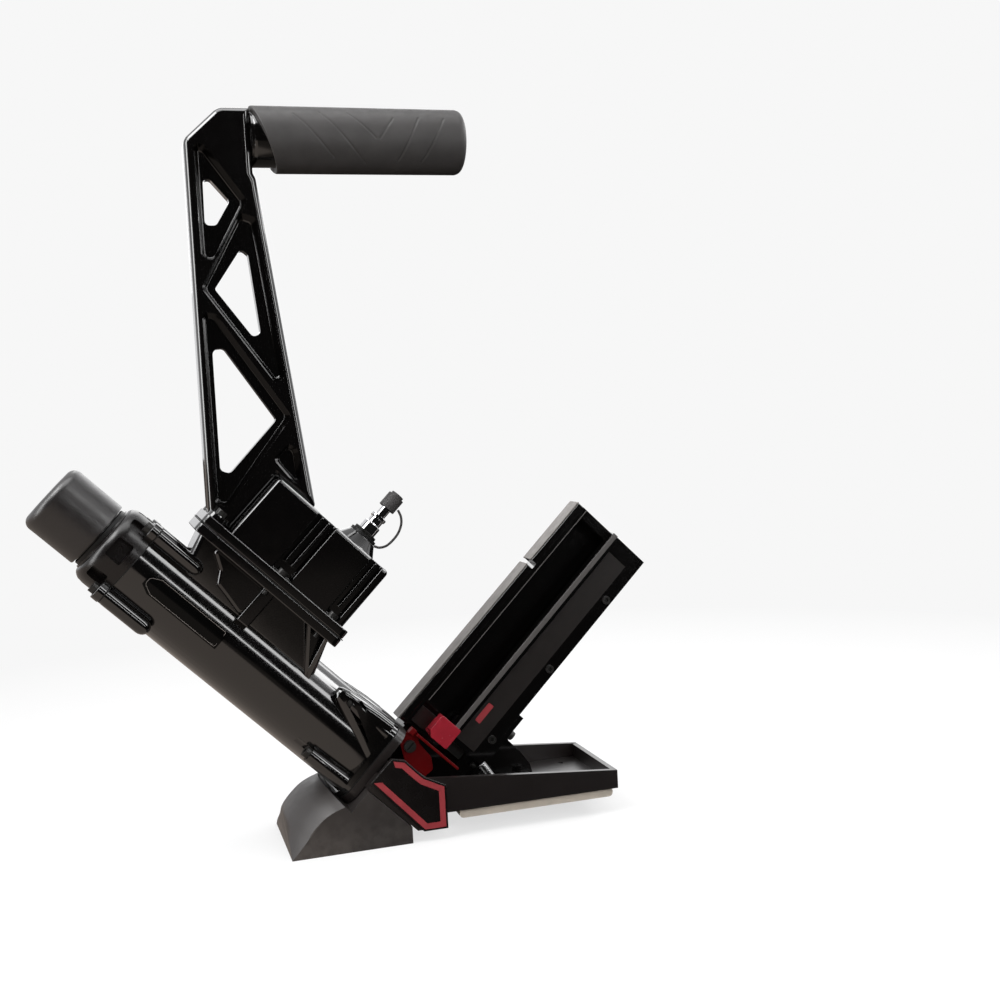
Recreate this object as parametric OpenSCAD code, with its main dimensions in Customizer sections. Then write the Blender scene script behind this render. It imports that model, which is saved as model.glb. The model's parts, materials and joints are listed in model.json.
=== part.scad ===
// Pneumatic flooring nailer, struck on its cap with a mallet.
// Origin: centre of the sole plate's underside. +X towards the heel, +Z up.
// Barrel frame: z runs up the driver axis from the sole, x runs up along the magazine.

/* [Drive] */
// Where the driver axis crosses the sole plane, along X
entry_x = -76; // [-80:1:-74]
// Travel of the piston and its blade
piston_travel = 90; // [80:1:90]
// Travel of the strike cap
strike_travel = 3.5; // [2:0.5:3.5]

/* [Barrel] */
// Outer radius of the body housing
body_r = 32; // [31:0.5:34]
// Bore radius of the cylinder sleeve
bore_r = 23; // [21:0.5:23]
// Barrel position of the joint between housing and head cap
head_s = 290; // [286:1:294]
// Barrel position of the strike cap's struck face
cap_top_s = 364; // [360:1:370]
// Outer radius of the strike cap
cap_r = 26; // [25:0.5:27]

/* [Air chamber] */
// Half width of the chamber
chamber_y = 36; // [34:1:38]
// Barrel position of the chamber's lower wall
chamber_s0 = 150; // [146:1:154]
// Barrel position of the chamber's upper wall
chamber_s1 = 255; // [250:1:258]
// Distance of the chamber's top from the driver axis
chamber_top = 113; // [108:1:118]

/* [Handle] */
// X of the arm's upright edge
arm_x = -226; // [-230:1:-222]
// Height of the arm's top face
arm_top_z = 522; // [510:1:530]
// Thickness of the arm
arm_t = 28; // [24:1:32]
// Height of the grip's centre line
grip_z = 502.5; // [500:0.5:503]
// Outer radius of the grip
grip_r = 23.8; // [22:0.2:24]
// X of the grip's free end
grip_end_x = -22; // [-30:1:0]

/* [Foot] */
// Width of the foot
foot_w = 92; // [90:1:94]
// Length of the sole plate
sole_l = 122; // [110:1:124]
// Thickness of the sole plate
sole_t = 7; // [5:0.5:7]
// Drop of the front shoe below the sole
shoe_drop = 12; // [10:0.5:13]
// Crown radius of the shoe's front
shoe_crown_r = 62; // [60:1:70]

/* [Magazine] */
// Distance of the magazine's far end from the driver axis
magazine_end_w = 253; // [250:1:260]
// Half width of the magazine
magazine_y = 13; // [12:0.5:14]
// Travel of the pusher
pusher_travel = 172; // [150:1:174]

/* [Hidden] */

$fn = 64;
gap = 0.1;
drive_angle = 45;
root2 = sqrt(2);
half_w = foot_w / 2;

// Foot
wall_t = 4;
floor_z0 = sole_t;
floor_z1 = sole_t + 3.5;
heel_x = sole_l / 2 + 3;
heel_wall_z = 21;
stop_x = -71.5;
tip_z = -4;
web_w0 = -15;
web_w1 = -3;
guide_plate_t = 1.8;
sole_screw_x = 44;
sole_screw_y = 28;
shoe_screw_s = 35;
shoe_screw_y = 33;
shoe_nose_x = -186;
shoe_heel_x = -98;
boss_x = -26;
boss_y = 22;
bracket_top = floor_z1 + 4.1;
bracket_screw_x = [boss_x, 2];

// Flange stack between foot and barrel
flange_s0 = 60;
flange_s1 = 66;
housing_s0 = 66.8;
housing_flange_s1 = 72;
flange_half = 34;
foot_screw_w = 23;
foot_screw_y = 27;
foot_boss_s = 106;

// Barrel internals
housing_bore_r = 26;
sleeve_s0 = 80.2;
sleeve_s1 = 214;
piston_s0 = 192;
bumper_s1 = piston_s0 - piston_travel - 0.3;
piston_h = 14;
blade_tip_s = 84;
blade_y = 6.5;
blade_t = 1.6;
valve_lift = 5;
guide_s0 = sleeve_s1 + 13 + valve_lift;
guide_s1 = 258;
stem_r = 8;
ram_flange_s = 269;
head_screw_w = 27;
head_screw_y = 24;
shoulder_s = cap_top_s - 44 - strike_travel - 0.2;
neck_r = 22;
cap_s0 = cap_top_s - 44;

// Chamber
pad_w0 = 47;
pad_w1 = 54;
chamber_w0 = 54.8;
chamber_flange_w1 = 61.5;
chamber_flange_y = 41;
lug_s = 268;
lug_y = 27;
channel_s = 209;
end_channel_s = 161;
inlet_s = 176;
port_r = 14;

// Magazine
mag_w0 = 8.3;
mag_s0 = -7;
mag_s1 = 59.5;
rail_s1 = 66;
rail_w0 = 37;
rail_split_w = 192;
channel_s0 = 6;
channel_y0 = -8;
channel_y1 = 7;
cover_s1 = 28;
pusher_w0 = 42;
end_block_w0 = pusher_w0 + 28.3 + pusher_travel + 3;
latch_w = 27;
latch_s = 50;
latch_y = -23;

// Position in the tool frame of a point given by its barrel coordinates
function tool_x(w, s) = entry_x + (w - s) / root2;
function tool_z(w, s) = (w + s) / root2;

// Barrel position where the horizontal plane at height z meets the plane at offset w
function s_at_z(w, z) = z * root2 - w;

module barrel() {
    translate([entry_x, 0, 0]) rotate([0, drive_angle - 90, 0]) children();
}

// Outline in the X-Z plane, extruded across the tool
module slab(outline, y0, y1) {
    translate([0, y1, 0]) rotate([90, 0, 0]) linear_extrude(y1 - y0) polygon(outline);
}

module soft_slab(outline, y0, y1, r) {
    translate([0, y1, 0]) rotate([90, 0, 0]) linear_extrude(y1 - y0)
        offset(r, $fn = 24) offset(-r, $fn = 24) polygon(outline);
}

// Cylinder lying across the tool
module cross_rod(x, z, y0, y1, r) {
    translate([x, y0, z]) rotate([-90, 0, 0]) cylinder(h = y1 - y0, r = r);
}

// Cylinder along the magazine direction, in the barrel frame
module w_rod(s, y, w0, w1, r) {
    translate([w0, y, s]) rotate([0, 90, 0]) cylinder(h = w1 - w0, r = r);
}

module tube(s0, s1, r_in, r_out) {
    translate([0, 0, s0]) difference() {
        cylinder(h = s1 - s0, r = r_out);
        translate([0, 0, -1]) cylinder(h = s1 - s0 + 2, r = r_in);
    }
}

module rounded_square(size_x, size_y, r) {
    offset(r, $fn = 24) square([size_x - 2 * r, size_y - 2 * r], center = true);
}

// Round wire spring: points of one closed tube along a helix
module coil_spring(r, wire_r, height, turns) {
    sides = 8;
    steps = turns * 16;
    ring = [for (i = [0:steps]) for (k = [0:sides - 1])
        let (a = 360 * turns * i / steps, b = 360 * k / sides, q = r + wire_r * cos(b))
        [q * cos(a), q * sin(a), wire_r + (height - 2 * wire_r) * i / steps + wire_r * sin(b)]];
    skin = [for (i = [0:steps - 1]) for (k = [0:sides - 1])
        [i * sides + k, i * sides + (k + 1) % sides,
         (i + 1) * sides + (k + 1) % sides, (i + 1) * sides + k]];
    start_cap = [[for (k = [sides - 1:-1:0]) k]];
    end_cap = [[for (k = [0:sides - 1]) steps * sides + k]];
    polyhedron(points = ring, faces = concat(skin, start_cap, end_cap));
}

// Socket-head screw standing on z = 0 with its shank downwards
module socket_screw(head_r, head_h, shank_r, shank_l) {
    difference() {
        cylinder(h = head_h, r = head_r, $fn = 32);
        translate([0, 0, head_h * 0.45]) cylinder(h = head_h, r = head_r * 0.55, $fn = 6);
    }
    translate([0, 0, -shank_l]) cylinder(h = shank_l + 0.01, r = shank_r, $fn = 32);
}

// Same screw with its axis along the magazine direction, in the barrel frame
module w_screw(s, y, w, head_r, head_h, shank_r, shank_l) {
    translate([w, y, s]) rotate([0, 90, 0]) socket_screw(head_r, head_h, shank_r, shank_l);
}

// ---------------------------------------------------------------- foot

wall_outline = [
    [-110.5, 51.5], [-126, 36.8], [-90.2, -3], [-72, -3], [-72, floor_z0],
    [heel_x, floor_z0], [heel_x, heel_wall_z], [-84.6, 34.3], [-92.8, 41], [-100.8, 49.8]
];

plate_outline = [
    [-110.2, 52.4], [-127, 36.8], [-89.7, tip_z], [stop_x, tip_z], [stop_x, 28.3],
    [-87.4, 36.3], [-92.8, 41.6], [-100.8, 50.2]
];

module flange_outline() {
    rounded_square(2 * flange_half, 2 * flange_half, 12);
}

module foot_screw_places() {
    for (i = [-1, 1]) for (j = [-1, 1])
        translate([i * foot_screw_w, j * foot_screw_y, 0]) children();
}

module base_frame() {
    color("#3a3433") difference() {
        union() {
            translate([-70, -half_w, floor_z0])
                cube([heel_x + 70, foot_w, floor_z1 - floor_z0]);
            slab(wall_outline, -half_w, -half_w + wall_t);
            slab(wall_outline, half_w - wall_t, half_w);
            translate([heel_x - wall_t, -half_w, floor_z0])
                cube([wall_t, foot_w, heel_wall_z - floor_z0]);
            for (j = [-1, 1]) translate([boss_x, j * boss_y, floor_z0])
                cylinder(h = bracket_top - floor_z0 - gap, r = 4.5);
            barrel() slab([
                [web_w0, flange_s0], [web_w1, flange_s0],
                [web_w1, s_at_z(web_w1, tip_z + 0.7)], [web_w0, s_at_z(web_w0, tip_z + 0.7)]
            ], -half_w, half_w);
            barrel() translate([0, 0, flange_s0 - 0.5])
                linear_extrude(flange_s1 - flange_s0 + 0.5) flange_outline();
        }
        for (i = [-1, 1]) for (j = [-1, 1])
            translate([i * sole_screw_x, j * sole_screw_y, 0]) cylinder(h = 20, r = 2.1);
        for (x = bracket_screw_x) for (j = [-1, 1])
            translate([x, j * boss_y, floor_z0 + 1]) cylinder(h = 20, r = 2.1);
        barrel() {
            for (j = [-1, 1])
                w_rod(shoe_screw_s, j * shoe_screw_y, web_w0 - 1, web_w1 + 1, 2.75);
            for (s = [14, 48]) for (j = [-1, 1]) w_rod(s, j * 17.5, web_w0 + 2, web_w1 + 1, 2.1);
            foot_screw_places() translate([0, 0, flange_s0 - 2]) cylinder(h = 20, r = 2.6);
            translate([-blade_t, -blade_y - 1, flange_s0 - 2]) cube([2 * blade_t, 2 * blade_y + 2, 20]);
        }
    }
}

module sole_plate() {
    r = sole_t / 2 - 0.3;
    end = sole_l / 2;
    color("#b3a594") difference() {
        soft_slab([[-end, 0], [end, 0], [end, sole_t], [-end, sole_t]],
            -half_w + 4, half_w - 4, r);
        for (i = [-1, 1]) for (j = [-1, 1])
            translate([i * sole_screw_x, j * sole_screw_y, -1]) {
                cylinder(h = 5, r = 4.4);
                cylinder(h = 20, r = 2.2);
            }
    }
}

module sole_screws() {
    color("#a8a8a8") for (i = [-1, 1]) for (j = [-1, 1])
        translate([i * sole_screw_x, j * sole_screw_y, 4]) mirror([0, 0, 1])
            socket_screw(4, 2.6, 2, 5.5);
}

module front_shoe() {
    rear = web_w0 - 0.5;
    top_end = -flange_half - 3;
    crown_top = 87;
    color("#55504c") difference() {
        intersection() {
            barrel() translate([-200, 0, crown_top - shoe_crown_r]) rotate([0, 90, 0])
                cylinder(h = 300, r = shoe_crown_r, $fn = 128);
            slab([
                [shoe_nose_x, -shoe_drop], [shoe_heel_x, -shoe_drop],
                [shoe_heel_x, rear * root2 - shoe_heel_x + entry_x],
                [tool_x(rear, 58.5), tool_z(rear, 58.5)],
                [tool_x(top_end, 58.5), tool_z(top_end, 58.5)],
                [tool_x(top_end, crown_top), tool_z(top_end, crown_top)],
                [shoe_nose_x, crown_top * root2 + shoe_nose_x - entry_x]
            ], -half_w, half_w);
        }
        barrel() for (j = [-1, 1]) w_rod(shoe_screw_s, j * shoe_screw_y, rear - 18, rear + 1, 2.6);
    }
}

module shoe_screws() {
    color("#303030") barrel() for (j = [-1, 1])
        w_screw(shoe_screw_s, j * shoe_screw_y, web_w1 + gap, 4.4, 3.4, 2.5, 28);
}

module guide_plate(y0) {
    color("#3a3838") slab(plate_outline, y0, y0 + guide_plate_t);
}

module guide_plate_near() {
    guide_plate(-half_w - gap - guide_plate_t);
}

module guide_plate_far() {
    guide_plate(half_w + gap);
}

// Red border of the alignment decal, one on each guide plate
module tongue_decals() {
    y = half_w + gap + guide_plate_t;
    color("#a8323a") for (y0 = [-y - 0.3, y]) translate([0, y0 + 0.3, 0]) rotate([90, 0, 0])
        linear_extrude(0.3) difference() {
            offset(-2) polygon(plate_outline);
            offset(-6) polygon(plate_outline);
        }
}

module before_stop_face() {
    intersection() {
        children();
        translate([stop_x - 400, -100, -50]) cube([400, 200, 300]);
    }
}

module nose_front() {
    w0 = web_w1 + gap;
    color("#7d7d7d") before_stop_face() barrel() difference() {
        slab([[w0, 59.4], [1, 59.4], [1, s_at_z(1, tip_z)], [w0, s_at_z(w0, tip_z)]], -22, 22);
        translate([-1, -7, -20]) cube([5, 14, 100]);
        for (s = [14, 48]) for (j = [-1, 1]) w_rod(s, j * 17.5, -10, 10, 2.2);
    }
}

module nose_rear() {
    color("#6e6e6e") before_stop_face() barrel() difference() {
        slab([[1, 59.4], [8, 59.4], [8, -10], [1, s_at_z(1, tip_z)]], -22, 22);
        translate([0, -7, channel_s0 + 2]) cube([10, 14, 49]);
        for (s = [14, 48]) for (j = [-1, 1]) w_rod(s, j * 17.5, 0, 10, 2.2);
    }
}

module nose_screws() {
    color("#303030") barrel() for (s = [14, 48]) for (j = [-1, 1])
        w_screw(s, j * 17.5, 8, 3.4, 2.8, 2, 18);
}

// ---------------------------------------------------------------- barrel

module foot_gasket() {
    color("#222222") barrel() translate([0, 0, flange_s1]) difference() {
        linear_extrude(housing_s0 - flange_s1) flange_outline();
        translate([0, 0, -1]) cylinder(h = 5, r = 14);
        foot_screw_places() translate([0, 0, -1]) cylinder(h = 5, r = 2.8);
    }
}

module foot_screws() {
    color("#8c8c8c") barrel() foot_screw_places() translate([0, 0, foot_boss_s])
        socket_screw(4.2, 4, 2.5, foot_boss_s - flange_s0);
}

module head_screw_places() {
    for (i = [-1, 1]) for (j = [-1, 1])
        translate([i * head_screw_w, j * head_screw_y, 0]) children();
}

module pad_outline() {
    polygon([
        [chamber_s0 - 5, -chamber_flange_y], [chamber_s1 + 7, -chamber_flange_y],
        [lug_s + 8, -lug_y - 8], [lug_s + 8, lug_y + 8],
        [chamber_s1 + 7, chamber_flange_y], [chamber_s0 - 5, chamber_flange_y]
    ]);
}

// Flange seen along the magazine direction: outline x runs up the barrel
module pad(w0, w1) {
    translate([w1, 0, 0]) rotate([0, -90, 0]) linear_extrude(w1 - w0) pad_outline();
}

chamber_screw_list = [
    [lug_s, -lug_y], [lug_s, lug_y],
    [channel_s, -chamber_y], [channel_s, chamber_y],
    [end_channel_s, -chamber_y], [end_channel_s, chamber_y]
];

// Air ways between the chamber and the cylinder
module port_holes() {
    for (s = [inlet_s, lug_s - 42]) w_rod(s, 0, 10, 70, port_r);
}

module body_housing() {
    color("#2a2524") barrel() difference() {
        union() {
            translate([0, 0, housing_s0]) cylinder(h = head_s - housing_s0, r = body_r, $fn = 96);
            translate([0, 0, housing_s0]) linear_extrude(housing_flange_s1 - housing_s0)
                flange_outline();
            foot_screw_places() translate([0, 0, housing_flange_s1 - 1])
                cylinder(h = foot_boss_s - housing_flange_s1 + 1, r1 = 7.5, r2 = 5.6);
            head_screw_places() translate([0, 0, head_s - 33]) cylinder(h = 33, r = 6);
        }
        translate([0, 0, sleeve_s0]) cylinder(h = 300, r = housing_bore_r, $fn = 96);
        translate([0, 0, 50]) cylinder(h = 60, r = 11);
        port_holes();
        foot_screw_places() translate([0, 0, 50]) cylinder(h = 80, r = 2.7);
        foot_screw_places() translate([0, 0, foot_boss_s]) cylinder(h = 14, r = 4.6);
        head_screw_places() translate([0, 0, head_s - 26]) cylinder(h = 40, r = 2.1);
    }
}

// Flange and neck that carry the air chamber on the housing
module chamber_mount() {
    color("#2a2524") barrel() difference() {
        union() {
            pad(pad_w0, pad_w1);
            slab([[18, chamber_s0 - 8], [pad_w0, chamber_s0], [pad_w0, lug_s + 4], [18, lug_s + 4]],
                -25, 25);
            for (s = [chamber_s0 + 8, 186, 232])
                slab([[15, s], [pad_w0, s], [pad_w0, s + 5], [15, s + 5]], -33, 33);
        }
        translate([0, 0, 50]) cylinder(h = 300, r = body_r + 0.05, $fn = 96);
        head_screw_places() translate([0, 0, head_s - 33.1]) cylinder(h = 60, r = 6.1);
        port_holes();
        for (p = chamber_screw_list) w_rod(p[0], p[1], pad_w0 - 8, pad_w1 + 1, 2.1);
    }
}

// Blank plate bonded to the near side of the housing
module name_badge() {
    color("#141212") barrel() intersection() {
        tube(209, 278, body_r + 0.05, body_r + 0.8);
        slab([[-7.5, 206], [7.5, 206], [7.5, 270], [4, 277], [-4, 277],
            [-7.5, 270]], -60, 0);
    }
}

module cylinder_sleeve() {
    color("#b8b8b4") barrel() difference() {
        tube(sleeve_s0, sleeve_s1, bore_r, bore_r + 2.7);
        for (s = [88, 204]) tube(s, s + 2.2, bore_r + 1.6, bore_r + 5);
    }
}

module sleeve_rings() {
    color("#1c1c1c") barrel() for (s = [88.1, 204.1])
        tube(s, s + 2, bore_r + 1.7, housing_bore_r - 0.05);
}

module bottom_bumper() {
    color("#3c3a38") barrel() tube(sleeve_s0, bumper_s1, 9, bore_r - 0.2);
}

module main_piston() {
    color("#c4c4c0") barrel() difference() {
        translate([0, 0, piston_s0]) cylinder(h = piston_h, r = bore_r - 0.05);
        tube(piston_s0 + 5, piston_s0 + 8.2, bore_r - 2.2, bore_r + 5);
        translate([-blade_t / 2 - gap, -blade_y - gap, piston_s0 - 1])
            cube([blade_t + 2 * gap, 2 * blade_y + 2 * gap, 9.1]);
        w_rod(piston_s0 + 3, 0, -30, 30, 1.6);
    }
}

module piston_ring() {
    color("#1c1c1c") barrel()
        tube(piston_s0 + 5.1, piston_s0 + 8.1, bore_r - 2.1, bore_r - 0.02);
}

module driver_blade() {
    color("#8f9296") barrel() difference() {
        translate([-blade_t / 2, -blade_y, blade_tip_s])
            cube([blade_t, 2 * blade_y, piston_s0 + 8 - blade_tip_s]);
        w_rod(piston_s0 + 3, 0, -5, 5, 1.6);
        translate([-3, -4, blade_tip_s + 30]) cube([6, 0.6, 60]);
        translate([-3, 3.4, blade_tip_s + 30]) cube([6, 0.6, 60]);
    }
}

module blade_pin() {
    color("#707070") barrel() w_rod(piston_s0 + 3, 0, -16, 16, 1.5);
}

module head_valve() {
    s0 = sleeve_s1 + 0.3;
    color("#a9a9a6") barrel() {
        translate([0, 0, s0]) cylinder(h = 8, r = housing_bore_r - 0.3);
        translate([0, 0, s0 + 7]) cylinder(h = 19, r = stem_r);
    }
}

module head_valve_spring() {
    s0 = sleeve_s1 + 8.4;
    color("#9a9a9a") barrel() translate([0, 0, s0])
        coil_spring(12, 1, guide_s0 - s0 - 0.1, 2);
}

module valve_guide() {
    color("#8e8e8a") barrel() tube(guide_s0, guide_s1, stem_r + 0.05, housing_bore_r - 0.1);
}

module ram() {
    color("#b0b0ae") barrel() {
        translate([0, 0, 252]) cylinder(h = 12, r = 5);
        translate([0, 0, 262]) cylinder(h = 87.5, r = stem_r);
        translate([0, 0, ram_flange_s]) cylinder(h = 5.6, r = 13);
    }
}

module ram_spring() {
    color("#9a9a9a") barrel() translate([0, 0, guide_s1 + 0.1])
        coil_spring(10.3, 1, ram_flange_s - guide_s1 - 0.2, 3);
}

module ram_seal() {
    color("#1c1c1c") barrel() tube(300.1, 303, stem_r + 0.03, stem_r + 2.6);
}

module head_outline() {
    circle(r = body_r);
    for (i = [-1, 1]) for (j = [-1, 1]) hull() {
        translate([i * head_screw_w, j * head_screw_y]) circle(r = 6, $fn = 32);
        translate([i * head_screw_w * 0.5, j * head_screw_y * 0.5]) circle(r = 6, $fn = 32);
    }
}

module head_gasket() {
    color("#222222") barrel() translate([0, 0, head_s]) difference() {
        linear_extrude(0.8) head_outline();
        translate([0, 0, -1]) cylinder(h = 3, r = housing_bore_r);
        head_screw_places() translate([0, 0, -1]) cylinder(h = 3, r = 2.6);
    }
}

module head_cap() {
    s0 = head_s + 0.8;
    shoulder = 10;
    color("#1e1a19") barrel() difference() {
        union() {
            rotate_extrude($fn = 96) {
                polygon([[0, s0], [body_r, s0], [body_r, shoulder_s - shoulder],
                    [cap_r - 0.5, shoulder_s - 2], [cap_r - 0.5, shoulder_s], [0, shoulder_s]]);
                translate([cap_r - 3.5, shoulder_s - shoulder]) intersection() {
                    circle(r = shoulder - 0.5);
                    square(20);
                }
            }
            translate([0, 0, s0]) linear_extrude(6) head_outline();
            translate([0, 0, 275]) cylinder(h = s0 - 274, r = 14);
            translate([0, 0, shoulder_s - 1]) cylinder(h = 9.5, r = neck_r);
        }
        translate([0, 0, 200]) cylinder(h = 200, r = stem_r + 0.05);
        tube(300, 303.1, stem_r, stem_r + 2.7);
        head_screw_places() translate([0, 0, s0 - 1]) cylinder(h = 20, r = 2.6);
        head_screw_places() translate([0, 0, s0 + 6]) cylinder(h = 20, r = 5);
        for (j = [-1, 1]) translate([-1, j * body_r - 4, head_s + 8]) cube([15, 8, 11]);
    }
}

module head_screws() {
    color("#2b2b2b") barrel() head_screw_places() translate([0, 0, head_s + 6.8])
        socket_screw(4.2, 4.2, 2, 30);
}

module strike_cap() {
    r = 6;
    color("#3b3a3a") barrel() difference() {
        rotate_extrude($fn = 96) {
            square_h = cap_top_s - cap_s0;
            translate([0, cap_s0]) square([cap_r, square_h - r]);
            translate([0, cap_s0]) square([cap_r - r, square_h]);
            translate([cap_r - r, cap_top_s - r]) circle(r = r, $fn = 48);
        }
        translate([0, 0, cap_s0 - 1]) cylinder(h = 10.5, r = neck_r + 0.6);
        translate([0, 0, cap_s0]) cylinder(h = 30, r = stem_r + 0.02);
    }
}

// ---------------------------------------------------------------- chamber and handle

module chamber_gasket() {
    color("#222222") barrel() difference() {
        pad(pad_w1, chamber_w0);
        port_holes();
        for (p = chamber_screw_list) w_rod(p[0], p[1], 40, 80, 2.6);
    }
}

module chamber_channel(s, half, depth) {
    for (j = [-1, 1]) translate([chamber_flange_w1, j * chamber_y - depth, s - half])
        cube([80, 2 * depth, 2 * half]);
}

module air_chamber() {
    wall = 5;
    color("#171414") barrel() difference() {
        union() {
            pad(chamber_w0, chamber_flange_w1);
            translate([chamber_w0, -chamber_y, chamber_s0])
                cube([chamber_top - chamber_w0, 2 * chamber_y, chamber_s1 - chamber_s0]);
            translate([chamber_top, 0, inlet_s]) rotate([0, 90, 0])
                cylinder(h = 9, r1 = 17, r2 = 12);
            for (j = [-1, 1]) w_rod(lug_s, j * lug_y, chamber_w0, chamber_flange_w1 + 4, 7);
        }
        translate([chamber_w0 - 1, -chamber_y + 13, chamber_s0 + wall])
            cube([chamber_top - chamber_w0 - wall + 1, 2 * chamber_y - 26,
                chamber_s1 - chamber_s0 - 2 * wall]);
        chamber_channel(channel_s, 8, 8);
        chamber_channel(end_channel_s, 4.6, 6);
        w_rod(inlet_s, 0, 80, 160, 6);
        for (p = chamber_screw_list) w_rod(p[0], p[1], 40, 80, 2.6);
    }
}

module chamber_screws() {
    color("#2b2b2b") barrel() for (p = chamber_screw_list)
        w_screw(p[0], p[1], chamber_flange_w1 + (p[0] == lug_s ? 4 : 0), 3.9, 4, 2, 18);
}

s_on_arm_edge = chamber_flange_w1 - (arm_x - entry_x) * root2;
arm_outline = [
    [arm_x, tool_z(chamber_flange_w1, s_on_arm_edge)],
    [tool_x(chamber_flange_w1, chamber_s1), tool_z(chamber_flange_w1, chamber_s1)],
    [tool_x(chamber_top, chamber_s1), tool_z(chamber_top, chamber_s1)],
    [-148.5, chamber_top * root2 + entry_x + 148.5],
    [-177, 472.6], [-179, 477], [-179, arm_top_z], [-201, arm_top_z], [arm_x, 500]
];

// Lightening pockets on each face, with the windows cut through their webs
arm_pockets = [
    [[-219, 496], [-211, 494], [-186, 457], [-209, 416], [-219, 416]],
    [[-189, 447], [-180, 441], [-167, 334], [-172, 329], [-219.5, 395]],
    [[-220.5, 377], [-212, 377], [-163.5, 301], [-186, 275], [-213, 243], [-220.5, 247]],
    [[-178, 272], [-166, 282], [-160.5, 277], [-158.5, 257], [-163, 254]]
];
arm_windows = [
    [[-214, 472], [-209.5, 474], [-196.5, 458], [-207, 441], [-214.5, 441]],
    [[-190.5, 423], [-186, 419], [-180.5, 364], [-185, 361], [-210, 396]],
    [[-215, 352], [-207, 353], [-173, 301], [-208, 264.5], [-215, 267]]
];

module handle_arm() {
    web = 5;
    color("#171414") difference() {
        soft_slab(arm_outline, -arm_t / 2, arm_t / 2, 2);
        for (p = arm_pockets) {
            soft_slab(p, -arm_t, -web, 3);
            soft_slab(p, web, arm_t, 3);
        }
        for (p = arm_windows) soft_slab(p, -arm_t, arm_t, 3);
        translate([-190, 0, grip_z]) rotate([0, 90, 0]) cylinder(h = 20, r = 12.1);
    }
}

module grip_core() {
    color("#171414") translate([0, 0, grip_z]) rotate([0, 90, 0]) {
        translate([0, 0, -189.8]) cylinder(h = grip_end_x - 6 + 189.8, r = 12);
        translate([0, 0, -178.8]) cylinder(h = 10, r = 19);
    }
}

module grip_sleeve() {
    r = 6;
    start = -178.5;
    length = grip_end_x - start;
    color("#3f3c3b") intersection() {
        translate([start, 0, grip_z]) rotate([0, 90, 0]) difference() {
            rotate_extrude($fn = 96) {
                square([grip_r, length - r]);
                square([grip_r - r, length]);
                translate([grip_r - r, length - r]) circle(r = r, $fn = 48);
            }
            translate([0, 0, -1]) cylinder(h = length - 5 + 1, r = 12.2);
            translate([0, 0, -1]) cylinder(h = 12, r = 19.3);
        }
        slab([[-178.5, arm_top_z + 10], [-163, grip_z - 30], [0, grip_z - 30], [0, arm_top_z + 10]],
            -40, 40);
    }
}

// ---------------------------------------------------------------- air inlet

plug_w0 = chamber_top + 14;

module inlet_washer() {
    color("#1b1b1b") barrel() translate([chamber_top + 9 + gap, 0, inlet_s])
        rotate([0, 90, 0]) tube(0, 2.4, 6.3, 11.2);
}

module inlet_bushing() {
    color("#2a2a2a") barrel() translate([chamber_top - 2, 0, inlet_s]) rotate([0, 90, 0])
        difference() {
            union() {
                cylinder(h = 15, r = 5.9);
                translate([0, 0, 13.6]) cylinder(h = 2.4, r = 9.5, $fn = 6);
            }
            translate([0, 0, -1]) cylinder(h = 30, r = 4.4);
        }
}

module air_plug() {
    color("#c9c9c9") barrel() translate([plug_w0, 0, inlet_s]) rotate([0, 90, 0]) difference() {
        rotate_extrude() polygon([
            [0, -10], [4.3, -10], [4.3, 0], [7, 0], [7, 7], [5.4, 8], [5.4, 12], [6.4, 13],
            [6.4, 15], [3.9, 16], [3.9, 27], [5, 28.2], [5, 30], [3.9, 33], [0, 33]
        ]);
        translate([0, 0, -11]) cylinder(h = 60, r = 2.4);
    }
}

module dust_cap() {
    w0 = plug_w0 + 23;
    color("#2c2a29") barrel() translate([w0, 0, inlet_s]) rotate([0, 90, 0]) difference() {
        union() {
            cylinder(h = 11.5, r = 6.6);
            translate([0, 0, 11]) cylinder(h = 2.5, r = 5);
        }
        translate([0, 0, -1]) cylinder(h = 12, r = 5.3);
    }
}

// Strap from the plug's root round to the dust cap, as a tube along hand-set points [w, s]
tether_points = [
    [122.5, 164], [124, 159.5], [129, 156.8], [136, 156], [143, 156.6], [149, 159],
    [153, 163], [155, 168.7]
];
tether_r = 1;

module cap_tether() {
    sides = 8;
    n = len(tether_points);
    points = [for (i = [0:n - 1]) for (k = [0:sides - 1])
        let (a = tether_points[max(i - 1, 0)], b = tether_points[min(i + 1, n - 1)],
            d = (b - a) / norm(b - a), q = 360 * k / sides)
        [tether_points[i][0] - d[1] * tether_r * cos(q), tether_r * sin(q),
         tether_points[i][1] + d[0] * tether_r * cos(q)]];
    skin = [for (i = [0:n - 2]) for (k = [0:sides - 1])
        [i * sides + k, i * sides + (k + 1) % sides,
         (i + 1) * sides + (k + 1) % sides, (i + 1) * sides + k]];
    caps = [[for (k = [sides - 1:-1:0]) k], [for (k = [0:sides - 1]) (n - 1) * sides + k]];
    color("#242424") barrel() {
        polyhedron(points = points, faces = concat(skin, caps));
    }
}

// ---------------------------------------------------------------- magazine

module above_floor() {
    intersection() {
        children();
        translate([-200, -100, floor_z1 + 0.5]) cube([500, 200, 400]);
    }
}

// Under the bracket's plate, at the heads of the four bolts
module magazine_bolt_places() {
    for (w = [46, 82]) for (y = [-8.5, 8.5]) translate([w, y, mag_s0 - 4.2]) children();
}

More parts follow.
